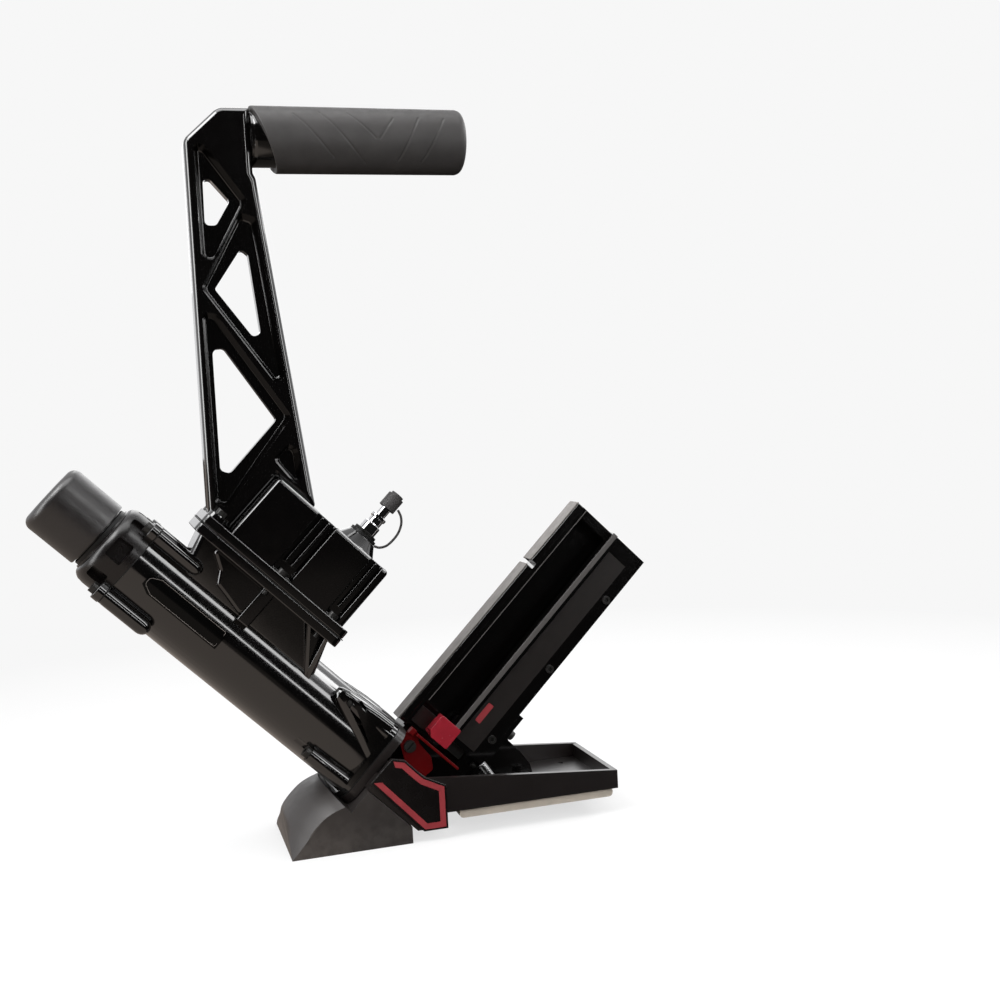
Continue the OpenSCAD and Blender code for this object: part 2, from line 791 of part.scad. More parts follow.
module magazine_body() {
    color("#141212") above_floor() barrel() difference() {
        union() {
            slab([[mag_w0, mag_s0], [magazine_end_w, mag_s0], [magazine_end_w, mag_s1],
                [mag_w0, mag_s1]], channel_y1, magazine_y);
            slab([[mag_w0, mag_s0], [magazine_end_w, mag_s0], [magazine_end_w, channel_s0],
                [mag_w0, channel_s0]], -magazine_y + 5, magazine_y);
            slab([[mag_w0, mag_s1 - 2.5], [magazine_end_w, mag_s1 - 2.5],
                [magazine_end_w, mag_s1], [mag_w0, mag_s1]], -magazine_y + 5, magazine_y);
        }
        for (w = [70, 140, 210]) translate([w, 0, -2]) rotate([90, 0, 0]) cylinder(h = 30, r = 1.7);
        magazine_bolt_places() translate([0, 0, 2]) cylinder(h = 8, r = 2.1);
    }
}

// Bright rail along the top of the magazine, in two lengths
module top_rails() {
    color("#8b8580") barrel() for (span = [[rail_w0, rail_split_w - 2], [rail_split_w + 2,
        magazine_end_w]]) {
        slab([[span[0], mag_s1 + gap], [span[1], mag_s1 + gap], [span[1], rail_s1],
            [span[0], rail_s1]], -magazine_y, magazine_y);
    }
}

module magazine_cover() {
    y0 = -magazine_y;
    y1 = -magazine_y + 4.8;
    color("#141212") above_floor() barrel() difference() {
        union() {
            slab([[50, mag_s0], [magazine_end_w, mag_s0], [magazine_end_w, cover_s1],
                [50, cover_s1]], y0, y1);
            slab([[50, cover_s1 - 3], [magazine_end_w, cover_s1 - 3],
                [magazine_end_w, cover_s1 + 1.5], [50, cover_s1 + 1.5]], y0 - 3.5, y1);
        }
        for (w = [70, 140, 210]) translate([w, 20, -2]) rotate([90, 0, 0]) cylinder(h = 50, r = 1.8);
        magazine_bolt_places() translate([0, 0, 2]) cylinder(h = 8, r = 2.1);
    }
}

module cover_screws() {
    color("#2b2b2b") barrel() for (w = [70, 140, 210])
        translate([w, -magazine_y, -2]) rotate([90, 0, 0]) socket_screw(3.2, 1.8, 1.6, 10);
}

module label_plate() {
    color("#5b5650") barrel()
        slab([[54, 3], [240, 3], [240, 21.5], [54, 21.5]], -magazine_y - 0.3, -magazine_y);
}

module feed_gate() {
    color("#161414") above_floor() barrel() difference() {
        union() {
            slab([[mag_w0, -2], [36, -2], [36, mag_s1], [mag_w0, mag_s1]], -magazine_y,
                -magazine_y + 4.8);
            cross_rod(latch_w, latch_s, latch_y + 0.4, -magazine_y + 1, 6);
        }
        cross_rod(latch_w, latch_s, -40, 0, 2.6);
    }
}

module latch_pin() {
    color("#3a3a3a") barrel() difference() {
        union() {
            cross_rod(latch_w, latch_s, latch_y - 2, -magazine_y + 4.6, 2.55);
            cross_rod(latch_w, latch_s, latch_y - 4.4, latch_y - 1.9, 4.6);
        }
        translate([latch_w - 3.5, latch_y - 5, latch_s - 0.6]) cube([7, 1.2, 1.2]);
    }
}

module release_latch() {
    y0 = latch_y - 1.6;
    color("#a01622") barrel() difference() {
        union() {
            soft_slab([[13, 22], [34, 14], [38, 14], [38, 57], [33, 58.4], [24, 57], [14, 46]],
                y0, latch_y, 1.5);
            slab([[36, 14], [38, 14], [38, 52], [36, 52]], latch_y - 9, latch_y);
            slab([[36, 54], [39, 54], [39, 58.4], [34, 58.4]], latch_y - 6, latch_y);
        }
        cross_rod(latch_w, latch_s, -60, 0, 2.6);
    }
}

module magazine_end() {
    color("#1b1918") barrel()
        slab([[end_block_w0, channel_s0 + 0.1], [magazine_end_w, channel_s0 + 0.1],
            [magazine_end_w, mag_s1 - 2.6], [end_block_w0, mag_s1 - 2.6]],
            channel_y0 + 0.2, channel_y1 - 0.1);
}

module pusher() {
    s0 = channel_s0 + 0.4;
    s1 = mag_s1 - 3;
    color("#8a8d90") barrel() difference() {
        slab([[pusher_w0, s0], [pusher_w0 + 14, s0], [pusher_w0 + 14, s1], [pusher_w0, s1]],
            channel_y0 + 0.5, channel_y1 - 0.4);
        slab([[pusher_w0 + 4, 13], [pusher_w0 + 15, 13], [pusher_w0 + 15, 28], [pusher_w0 + 4, 28]],
            -5, 4);
    }
}

module pusher_knob() {
    w0 = pusher_w0;
    w1 = pusher_w0 + 18;
    color("#b01c28") barrel() {
        slab([[w0 + 1, 33], [w0 + 13, 33], [w0 + 13, 43], [w0 + 1, 43]], -19, channel_y0 + 0.5);
        soft_slab([[w0, 26.5], [w1, 26.5], [w1, 46], [w0 + 4, 46], [w0, 42]], -27, -18, 1.5);
    }
}

// Rolled constant-force spring carried behind the pusher
module feed_spring() {
    color("#7f8285") barrel() cross_rod(pusher_w0 + 21.3, 20.5, -4.6, 3.6, 7);
}

// ---------------------------------------------------------------- magazine support

bracket_outline = [
    [tool_x(36, mag_s0 - 0.2), tool_z(36, mag_s0 - 0.2)],
    [tool_x(98, mag_s0 - 0.2), tool_z(98, mag_s0 - 0.2)],
    [-9.6, 49], [-9.2, 43.2], [0.5, 32.8], [7.4, 22.6], [10.6, floor_z1 + 0.1],
    [-46, floor_z1 + 0.1]
];

module support_bracket() {
    color("#1a1716") difference() {
        union() {
            slab(bracket_outline, -4, 4);
            barrel() translate([36, -magazine_y, mag_s0 - 4.2]) cube([62, 2 * magazine_y, 4]);
            translate([-46, -30, floor_z1 + 0.1]) cube([56, 60, bracket_top - floor_z1 - 0.1]);
        }
        barrel() magazine_bolt_places() translate([0, 0, -6]) cylinder(h = 20, r = 2.1);
        for (j = [-1, 1]) translate([boss_x, j * boss_y, 0]) cylinder(h = 40, r = 4.8);
        for (j = [-1, 1]) translate([bracket_screw_x[1], j * boss_y, 0]) cylinder(h = 40, r = 2.2);
    }
}

module bracket_screws() {
    color("#9a9a9a") for (j = [-1, 1]) {
        translate([bracket_screw_x[0], j * boss_y, bracket_top]) socket_screw(6.6, 5, 2, 6);
        translate([bracket_screw_x[1], j * boss_y, bracket_top]) socket_screw(3.8, 3.2, 2, 6);
    }
}

module magazine_bolts() {
    color("#b5b0a8") barrel() magazine_bolt_places() mirror([0, 0, 1]) socket_screw(3.6, 4, 2, 8);
}

base_frame();
sole_plate();
sole_screws();
front_shoe();
shoe_screws();
guide_plate_near();
guide_plate_far();
tongue_decals();
nose_front();
nose_rear();
nose_screws();
foot_gasket();
foot_screws();
body_housing();
chamber_mount();
name_badge();
cylinder_sleeve();
sleeve_rings();
bottom_bumper();
main_piston();
piston_ring();
driver_blade();
blade_pin();
head_valve();
head_valve_spring();
valve_guide();
ram();
ram_spring();
ram_seal();
head_gasket();
head_cap();
head_screws();
strike_cap();
chamber_gasket();
air_chamber();
chamber_screws();
handle_arm();
grip_core();
grip_sleeve();
inlet_washer();
inlet_bushing();
air_plug();
dust_cap();
cap_tether();
magazine_body();
top_rails();
magazine_cover();
cover_screws();
feed_gate();
magazine_end();
label_plate();
pusher();
pusher_knob();
feed_spring();
release_latch();
latch_pin();
support_bracket();
bracket_screws();
magazine_bolts();
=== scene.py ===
"""Looks of the flooring nailer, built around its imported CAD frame. Lengths are in millimetres until MM."""

import json
import math

import bmesh
import bpy
from mathutils import Matrix, Vector


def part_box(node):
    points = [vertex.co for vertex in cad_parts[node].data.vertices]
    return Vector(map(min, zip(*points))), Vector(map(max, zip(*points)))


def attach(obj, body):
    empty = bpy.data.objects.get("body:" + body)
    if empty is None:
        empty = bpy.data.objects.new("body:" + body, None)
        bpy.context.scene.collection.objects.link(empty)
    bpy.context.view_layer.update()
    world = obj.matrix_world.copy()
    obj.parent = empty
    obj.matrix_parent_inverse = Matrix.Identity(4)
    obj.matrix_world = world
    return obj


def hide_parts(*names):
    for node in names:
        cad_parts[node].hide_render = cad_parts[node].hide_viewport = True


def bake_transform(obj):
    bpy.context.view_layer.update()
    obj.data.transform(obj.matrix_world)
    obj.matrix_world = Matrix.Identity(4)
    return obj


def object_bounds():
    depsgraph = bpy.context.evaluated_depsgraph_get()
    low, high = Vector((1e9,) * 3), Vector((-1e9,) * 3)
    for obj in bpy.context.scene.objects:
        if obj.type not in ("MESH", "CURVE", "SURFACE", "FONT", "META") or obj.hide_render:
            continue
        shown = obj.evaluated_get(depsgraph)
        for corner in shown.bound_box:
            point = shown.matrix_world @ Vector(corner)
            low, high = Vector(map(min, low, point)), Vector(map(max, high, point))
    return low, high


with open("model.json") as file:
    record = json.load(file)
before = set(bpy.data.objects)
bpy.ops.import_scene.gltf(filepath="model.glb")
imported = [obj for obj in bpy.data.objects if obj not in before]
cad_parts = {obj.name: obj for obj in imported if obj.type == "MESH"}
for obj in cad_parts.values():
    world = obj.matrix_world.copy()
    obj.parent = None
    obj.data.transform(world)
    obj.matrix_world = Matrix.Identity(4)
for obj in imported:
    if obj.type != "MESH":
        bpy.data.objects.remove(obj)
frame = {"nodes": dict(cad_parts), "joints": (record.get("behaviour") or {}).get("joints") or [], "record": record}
cad_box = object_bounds()

MM = 0.001
BODIES = frame["record"]["behaviour"]["bodies"]
BODY_OF = {node: body for body, nodes in BODIES.items() for node in nodes}
SLOT_OF = {part["node"]: part["material_slot"] for part in frame["record"]["subparts"]}
AXES = {joint["name"]: Vector(joint["axis"]).normalized() for joint in frame["joints"]}
UP_BARREL = -AXES["piston_stroke"]
ALONG = AXES["pusher_slide"]
ACROSS = Vector((0, 1, 0))


# ---------------------------------------------------------------- places


def centre(node):
    low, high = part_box(node)
    return (low + high) / 2


piston_centre = centre("main_piston")
# Where the driver axis meets the plane of the sole
ENTRY = piston_centre - UP_BARREL * (piston_centre.z / UP_BARREL.z)


def barrel(w, y, s):
    """Point at w along the magazine direction, y across and s up the driver axis."""
    return ENTRY + (ALONG * w + ACROSS * y + UP_BARREL * s) * MM


def tool(x, y, z):
    return Vector((x, y, z)) * MM


# ---------------------------------------------------------------- mesh building


def new_object(name, mesh):
    piece = bpy.data.objects.new(name, mesh)
    bpy.context.scene.collection.objects.link(piece)
    return piece


# Faces that meet at more than this angle keep a crease, in degrees
CREASE = 32.0


def shade(mesh):
    """Smooth shading with creases."""
    mesh.polygons.foreach_set("use_smooth", [True] * len(mesh.polygons))
    mesh.set_sharp_from_angle(angle=math.radians(CREASE))


def loft(name, rings, bored=False):
    """Skin over rings of points, all with the same count; bored joins the last ring to the first."""
    count = len(rings[0])
    stops = [ring * count for ring in range(len(rings))]
    spans = list(zip(stops, stops[1:] + stops[:1])) if bored else list(zip(stops, stops[1:]))
    faces = [
        (a + k, a + (k + 1) % count, b + (k + 1) % count, b + k) for a, b in spans for k in range(count)
    ]
    if not bored:
        faces += [tuple(reversed(range(count))), tuple(range(stops[-1], stops[-1] + count))]
    mesh = bpy.data.meshes.new(name)
    mesh.from_pydata([p for ring in rings for p in ring], [], faces)
    shell = bmesh.new()
    shell.from_mesh(mesh)
    bmesh.ops.recalc_face_normals(shell, faces=shell.faces)
    shell.to_mesh(mesh)
    shell.free()
    shade(mesh)
    return new_object(name, mesh)


# Steps of the arc at each corner of an outline
ARC_STEPS = 5


def with_neighbours(corners):
    """Each corner, then its place and the places before and after it, as vectors."""
    places = [Vector(corner[:2]) for corner in corners]
    return zip(corners, places, places[-1:] + places[:-1], places[1:] + places[:1])


def rounded(corners, radius):
    """Outline whose corners are arcs. A corner is (a, b), or (a, b, its own radius)."""
    points = []
    for corner, here, before, after in with_neighbours(corners):
        back, ahead = (before - here), (after - here)
        half = back.angle(ahead) / 2
        turn = corner[2] if len(corner) > 2 else radius
        reach = min(turn / math.tan(half), 0.48 * back.length, 0.48 * ahead.length)
        turn = reach * math.tan(half)
        hub = here + (back.normalized() + ahead.normalized()).normalized() * turn / math.sin(half)
        start = here + back.normalized() * reach - hub
        end = here + ahead.normalized() * reach - hub
        sweep = math.pi - 2 * half
        for k in range(ARC_STEPS + 1):
            t = k / ARC_STEPS
            spoke = (start * math.sin((1 - t) * sweep) + end * math.sin(t * sweep)) / math.sin(sweep)
            points.append(tuple(hub + spoke))
    return points


def prism(name, outline, y0, y1, place):
    """Outline (a, b) extruded across the tool; place is tool or barrel."""
    return loft(name, [[place(a, y, b) for a, b in outline] for y in (y0, y1)])


def frustum(name, outline0, y0, outline1, y1, place):
    return loft(name, [[place(a, y0, b) for a, b in outline0], [place(a, y1, b) for a, b in outline1]])


def block(name, w0, w1, y0, y1, s0, s1, place):
    return prism(name, [(w0, s0), (w1, s0), (w1, s1), (w0, s1)], y0, y1, place)


def lathe(name, profile, foot, axis, sides=64, bored=False):
    """Profile (radius, height) turned about the axis through foot, a point in metres."""
    side = axis.orthogonal().normalized()
    other = axis.cross(side)
    angles = [2 * math.pi * k / sides for k in range(sides)]
    rings = [
        [foot + (axis * h + (side * math.cos(a) + other * math.sin(a)) * r) * MM for a in angles]
        for r, h in profile
    ]
    return loft(name, rings, bored)


def wire(name, knots, radius, ends=True, sides=12):
    """Round wire through the knots, in metres; without ends it closes on itself."""
    rings = []
    last = len(knots) - 1
    for i, knot in enumerate(knots):
        before = knots[i - 1] if i or not ends else knot
        after = knots[(i + 1) % len(knots)] if i < last or not ends else knot
        way = (after - before).normalized()
        side = way.cross(ACROSS if abs(way.dot(ACROSS)) < 0.9 else ALONG).normalized()
        other = way.cross(side)
        rings.append([
            knot + (side * math.cos(a) + other * math.sin(a)) * radius * MM
            for a in (2 * math.pi * k / sides for k in range(sides))
        ])
    return loft(name, rings, bored=not ends)


def join(name, pieces):
    """One object from several; their modifiers are applied."""
    graph = bpy.context.evaluated_depsgraph_get()
    graph.update()
    shell = bmesh.new()
    for piece in pieces:
        mesh = bpy.data.meshes.new_from_object(piece.evaluated_get(graph))
        shell.from_mesh(mesh)
        bpy.data.meshes.remove(mesh)
        bpy.data.objects.remove(piece)
    mesh = bpy.data.meshes.new(name)
    shell.to_mesh(mesh)
    shell.free()
    shade(mesh)
    return new_object(name, mesh)


def cut(piece, cutters):
    """Takes the cutters out of the piece."""
    for cutter in cutters:
        step = piece.modifiers.new("cut", "BOOLEAN")
        step.operation = "DIFFERENCE"
        step.solver = "EXACT"
        step.object = cutter
    settle(piece)
    for cutter in cutters:
        bpy.data.objects.remove(cutter)
    tidy_mesh(piece.data)
    return piece


def settle(piece):
    """Applies the piece's modifiers."""
    graph = bpy.context.evaluated_depsgraph_get()
    graph.update()
    mesh = bpy.data.meshes.new_from_object(piece.evaluated_get(graph))
    piece.modifiers.clear()
    piece.data = mesh
    return piece


# Points closer than this are one, in metres; faces within this angle are one, in degrees
DOUBLED, LEVEL = 1e-6, 0.5


def tidy_mesh(mesh):
    """Joins doubled points and level neighbouring faces."""
    shell = bmesh.new()
    shell.from_mesh(mesh)
    bmesh.ops.remove_doubles(shell, verts=shell.verts, dist=DOUBLED)
    bmesh.ops.dissolve_limit(
        shell, angle_limit=math.radians(LEVEL), verts=shell.verts, edges=shell.edges
    )
    shell.to_mesh(mesh)
    shell.free()
    shade(mesh)


def soften(piece, width, segments=3, angle=30.0):
    """Rounds the edges where faces meet at more than the angle."""
    edge = piece.modifiers.new("edge", "BEVEL")
    edge.width = width * MM
    edge.segments = segments
    edge.limit_method = "ANGLE"
    edge.angle_limit = math.radians(angle)
    edge.harden_normals = True
    return piece


# ---------------------------------------------------------------- materials

# Colour sockets of the mix node
MIX_LOW, MIX_HIGH, MIX_RESULT = 6, 7, 2


def feed(tree, socket, value):
    """Links a socket's value, or sets a number or a colour."""
    if isinstance(value, bpy.types.NodeSocket):
        tree.links.new(value, socket)
    elif isinstance(value, tuple):
        socket.default_value = (*value, 1)
    else:
        socket.default_value = value


def mixed(tree, factor, low, high):
    """Colour between low and high."""
    node = tree.nodes.new("ShaderNodeMix")
    node.data_type = "RGBA"
    feed(tree, node.inputs["Factor"], factor)
    feed(tree, node.inputs[MIX_LOW], low)
    feed(tree, node.inputs[MIX_HIGH], high)
    return node.outputs[MIX_RESULT]


def maths(tree, operation, *values, clamp=False):
    node = tree.nodes.new("ShaderNodeMath")
    node.operation = operation
    node.use_clamp = clamp
    for socket, value in zip(node.inputs, values):
        feed(tree, socket, value)
    return node.outputs[0]


def camera_sees(tree, seen, others):
    """Shader that is one thing to the camera and another to every other ray."""
    chosen = tree.nodes.new("ShaderNodeMixShader")
    feed(tree, chosen.inputs["Fac"], tree.nodes.new("ShaderNodeLightPath").outputs["Is Camera Ray"])
    feed(tree, chosen.inputs[1], others)
    feed(tree, chosen.inputs[2], seen)
    return chosen.outputs[0]


def noise(tree, vector, size):
    """Noise whose features are about size millimetres across."""
    node = tree.nodes.new("ShaderNodeTexNoise")
    node.inputs["Scale"].default_value = 1.0 / (size * MM)
    node.inputs["Detail"].default_value = 3.0
    node.inputs["Roughness"].default_value = 0.55
    tree.links.new(vector, node.inputs["Vector"])
    return node.outputs["Fac"]


def ranged(tree, value, low, high, start=0.3, end=0.7):
    """Value from low at start to high at end."""
    node = tree.nodes.new("ShaderNodeMapRange")
    for socket, number in zip(("From Min", "From Max", "To Min", "To Max"), (start, end, low, high)):
        node.inputs[socket].default_value = number
    tree.links.new(value, node.inputs["Value"])
    return node.outputs["Result"]


def scaled(colour, factor):
    return tuple(min(1.0, c * factor) for c in colour)


# Pointiness from which an edge is lightened, as rubbed wear and as a painted highlight line, to where it is fully
# so
EDGES = (0.52, 0.58)
# Size of the breaks in the lightened edges, and the noise between which they heal
EDGE_BREAK_SIZE, EDGE_BREAKS = 6.0, (0.35, 0.6)


def surface(
    name,
    colour,
    rough,
    metallic=0.0,
    specular=0.5,
    coat=0.0,
    blotch=25.0,
    spread=0.12,
    rough_spread=0.15,
    grain=1.0,
    depth=0.02,
    stretch=None,
    edge_wear_and_highlight=None,
):
    """Procedural finish: blotches of colour and gloss, a grain in relief, and convex edges lightened both as
    rubbed wear and as a painted highlight.
    """
    made = bpy.data.materials.new(name)
    made.use_nodes = True
    tree = made.node_tree
    shader = tree.nodes["Principled BSDF"]
    shader.inputs["Metallic"].default_value = metallic
    shader.inputs["Specular IOR Level"].default_value = specular
    shader.inputs["Coat Weight"].default_value = coat
    shader.inputs["Coat Roughness"].default_value = 0.08
    place = tree.nodes.new("ShaderNodeTexCoord").outputs["Object"]
    fine_place = place
    if stretch:
        turn = tree.nodes.new("ShaderNodeMapping")
        turn.inputs["Rotation"].default_value = stretch[0]
        turn.inputs["Scale"].default_value = stretch[1]
        tree.links.new(place, turn.inputs["Vector"])
        fine_place = turn.outputs["Vector"]
    patches = ranged(tree, noise(tree, place, blotch), 0, 1)
    tint = mixed(tree, patches, scaled(colour, 1 - spread), scaled(colour, 1 + spread))
    # Convex edges, broken by noise, take a lighter colour: rubbed wear and a painted highlight line along them
    if edge_wear_and_highlight:
        pointed = tree.nodes.new("ShaderNodeNewGeometry").outputs["Pointiness"]
        edges = ranged(tree, pointed, 0, 1, *EDGES)
        broken = ranged(tree, noise(tree, place, EDGE_BREAK_SIZE), 0.3, 1, *EDGE_BREAKS)
        tint = mixed(tree, maths(tree, "MULTIPLY", edges, broken), tint, edge_wear_and_highlight)
    tree.links.new(tint, shader.inputs["Base Color"])
    sheen = noise(tree, fine_place, blotch / 3)
    tree.links.new(
        ranged(tree, sheen, rough * (1 - rough_spread), rough * (1 + rough_spread)),
        shader.inputs["Roughness"],
    )
    relief = tree.nodes.new("ShaderNodeBump")
    relief.inputs["Distance"].default_value = depth * MM
    tree.links.new(noise(tree, fine_place, grain), relief.inputs["Height"])
    tree.links.new(relief.outputs["Normal"], shader.inputs["Normal"])
    return made


# Turn and scale that stretch the grain along the magazine or the blade
BRUSHED_ALONG = ((0, math.radians(45), 0), (0.03, 1, 1))

SURFACES = {
    "black_casting": surface(
        "black_enamel", (0.0014, 0.0012, 0.0012), 0.12, specular=1.0, coat=0.4,
        grain=2.2, depth=0.005),
    "satin_casting": surface(
        "satin_black", (0.0045, 0.0036, 0.0035), 0.26, spread=0.06, grain=0.7, depth=0.015),
    "foot_casting": surface(
        "foot_enamel", (0.0075, 0.0055, 0.0052), 0.34, specular=0.9, spread=0.06, rough_spread=0.03,
        grain=0.7, depth=0.008),
    # Light grey on the rolled lips of the magazine, a lighter copy of their black steel: a painted highlight along
    # their edges
    "cover_lip_highlight": surface(
        "lip_painted_highlight", (0.066, 0.061, 0.059), 0.4, spread=0.08, grain=0.7, depth=0.01),
    "plated_steel": surface(
        "zinc_plate", (0.42, 0.42, 0.42), 0.3, metallic=1.0, blotch=8, grain=0.6, depth=0.01),
    # Black oxide whose convex edges are lightened: wear and a painted highlight line
    "black_steel": surface(
        "black_oxide", (0.011, 0.011, 0.01), 0.34, metallic=0.5, blotch=6, grain=0.5, depth=0.012,
        edge_wear_and_highlight=(0.03, 0.029, 0.028)),
    "blade_steel": surface(
        "dark_steel", (0.09, 0.088, 0.086), 0.34, metallic=1.0, grain=0.6, depth=0.01,
        stretch=BRUSHED_ALONG),
    "aluminium": surface(
        "turned_aluminium", (0.6, 0.6, 0.59), 0.28, metallic=1.0, grain=0.5, depth=0.01),
    "chrome": surface(
        "bright_chrome", (0.7, 0.7, 0.71), 0.1, metallic=1.0, blotch=12, spread=0.04, grain=3,
        depth=0.004),
    "rubber": surface(
        "matte_rubber", (0.041, 0.039, 0.0385), 0.52, specular=0.4, blotch=18, spread=0.12, grain=0.35,
        depth=0.03),
    "cap_rubber": surface(
        "moulded_rubber", (0.008, 0.0066, 0.0066), 0.36, specular=0.9, blotch=18, spread=0.1, grain=0.5,
        depth=0.02),
    "seal": surface("black_seal", (0.006, 0.006, 0.006), 0.5, specular=0.35, grain=0.8, depth=0.01),
    # Nylon whose convex edges are lightened: wear and a painted highlight line
    "shoe": surface(
        "moulded_nylon", (0.021, 0.0178, 0.0168), 0.4, specular=0.6, spread=0.08, grain=0.5, depth=0.02,
        edge_wear_and_highlight=(0.06, 0.054, 0.05)),
    "sole": surface(
        "tan_nylon", (0.52, 0.46, 0.39), 0.45, blotch=14, spread=0.1, grain=0.8, depth=0.02),
    "red_steel": surface(
        "red_coat", (0.25, 0.014, 0.024), 0.24, coat=0.4, blotch=10, grain=1.4, depth=0.008),
    "latch_red": surface(
        "dark_red_coat", (0.075, 0.0008, 0.0014), 0.4, specular=0.15, blotch=10, grain=1.4, depth=0.006),
    "red_ink": surface(
        "red_print", (0.26, 0.034, 0.04), 0.4, specular=0.3, blotch=9, grain=0.5, depth=0.006),
    "badge": surface(
        "black_film", (0.0015, 0.0015, 0.0015), 0.1, specular=0.15, blotch=9, grain=1.5, depth=0.002),
    "label": surface(
        "label_film", (0.011, 0.009, 0.0085), 0.4, specular=0.35, blotch=12, grain=0.8, depth=0.004),
    "rail": surface(
        "brushed_rail", (0.15, 0.137, 0.128), 0.42, metallic=0.7, blotch=14, grain=0.5, depth=0.012,
        stretch=BRUSHED_ALONG),
    "acetal": surface("turned_acetal", (0.5, 0.5, 0.46), 0.4, grain=0.8, depth=0.01),
}


def coat_with(piece, slot, finish=None):
    """Gives the piece the slot's finish, or another finish."""
    piece.data.materials.clear()
    piece.data.materials.append(SURFACES[finish or slot])


def ride_as(piece, body, slot, finish=None):
    """Finishes the piece and hangs it on the body; its flat faces are shaded flat."""
    flats = piece.modifiers.new("flats", "WEIGHTED_NORMAL")
    flats.keep_sharp = True
    flats.weight = 80
    coat_with(piece, slot, finish)
    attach(piece, body)
    return piece


def stand_for(piece, *nodes, finish=None):
    """The piece is the finished form of these CAD nodes, which share a body."""
    ride_as(piece, BODY_OF[nodes[0]], SLOT_OF[nodes[0]], finish)
    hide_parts(*nodes)
    return piece


def bridge(piece, node):
    """The piece stands for a node held at both ends; it takes the node's finish and stays where it is built."""
    coat_with(piece, SLOT_OF[node])
    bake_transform(piece)
    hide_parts(node)


def refined(node, name, width, finish=None):
    """The CAD node's own shape with its edges rounded."""
    mesh = frame["nodes"][node].data.copy()
    mesh.name = name
    tidy_mesh(mesh)
    return stand_for(soften(new_object(name, mesh), width), node, finish=finish)


# ---------------------------------------------------------------- camera, light and floor

# Y in metres on the floor, and Y of the direction in the world, between which the reflections fade
FLOOR_FADE = (-1.8, -2.4)
WORLD_FADE = (-0.6, -0.05)
# The floor's reflection dims past two lines: X + slope * Y, in metres, between two values
FLOOR_SIDES = ((-0.095, (-0.068, -0.054)), (0.2, (-0.162, -0.148)))
SIDE_DIMMING = 0.85
# What the camera sees behind the tool, then what glossy faces see in front, below and behind
BACKDROP = (0.93, 0.93, 0.93)
DARK_FRONT = (0.008, 0.008, 0.008)
FLOOR_GLOW = (0.44, 0.38, 0.335)
WORLD_GLOW = (0.85, 0.85, 0.86)
# Share of the real floor in what the camera sees of it, and the distances over which that fades
FLOOR_SHARE, FLOOR_REACH = 0.3, (0.35, 1.0)
CAMERA_FROM_ENTRY = Vector((-209.2, -923.3, 294.0)) * MM
CAMERA_YAW, CAMERA_PITCH, CAMERA_ROLL = (math.radians(a) for a in (16.90, 3.75, 2.95))


def add_camera():
    lens = bpy.data.cameras.new("camera")
    lens.lens = 45.0
    lens.sensor_width = 36.0
    lens.clip_start = 0.01
    lens.clip_end = 60.0
    camera = new_object("camera", lens)
    level = math.cos(CAMERA_PITCH)
    ahead = Vector((
        math.sin(CAMERA_YAW) * level, math.cos(CAMERA_YAW) * level, -math.sin(CAMERA_PITCH)))
    flat_right = Vector((math.cos(CAMERA_YAW), -math.sin(CAMERA_YAW), 0))
    flat_up = flat_right.cross(ahead)
    roll_cos, roll_sin = math.cos(CAMERA_ROLL), math.sin(CAMERA_ROLL)
    right = flat_right * roll_cos - flat_up * roll_sin
    up = flat_right * roll_sin + flat_up * roll_cos
    turn = Matrix((right, up, -ahead)).transposed()
    camera.matrix_world = Matrix.Translation(ENTRY + CAMERA_FROM_ENTRY) @ turn.to_4x4()
    bpy.context.scene.camera = camera


def softbox(name, spot, direction, distance, along, length, width, power):
    """Area light seen from a spot of the tool in a direction; sizes and distance are in metres."""
    lamp = bpy.data.lights.new(name, "AREA")
    lamp.shape = "RECTANGLE"
    lamp.size, lamp.size_y = length, width
    lamp.energy = power
    light = new_object(name, lamp)
    way = Vector(direction).normalized()
    side = (along - way * along.dot(way)).normalized()
    turn = Matrix((side, way.cross(side), way)).transposed()
    light.matrix_world = Matrix.Translation(spot + way * distance) @ turn.to_4x4()
    return light


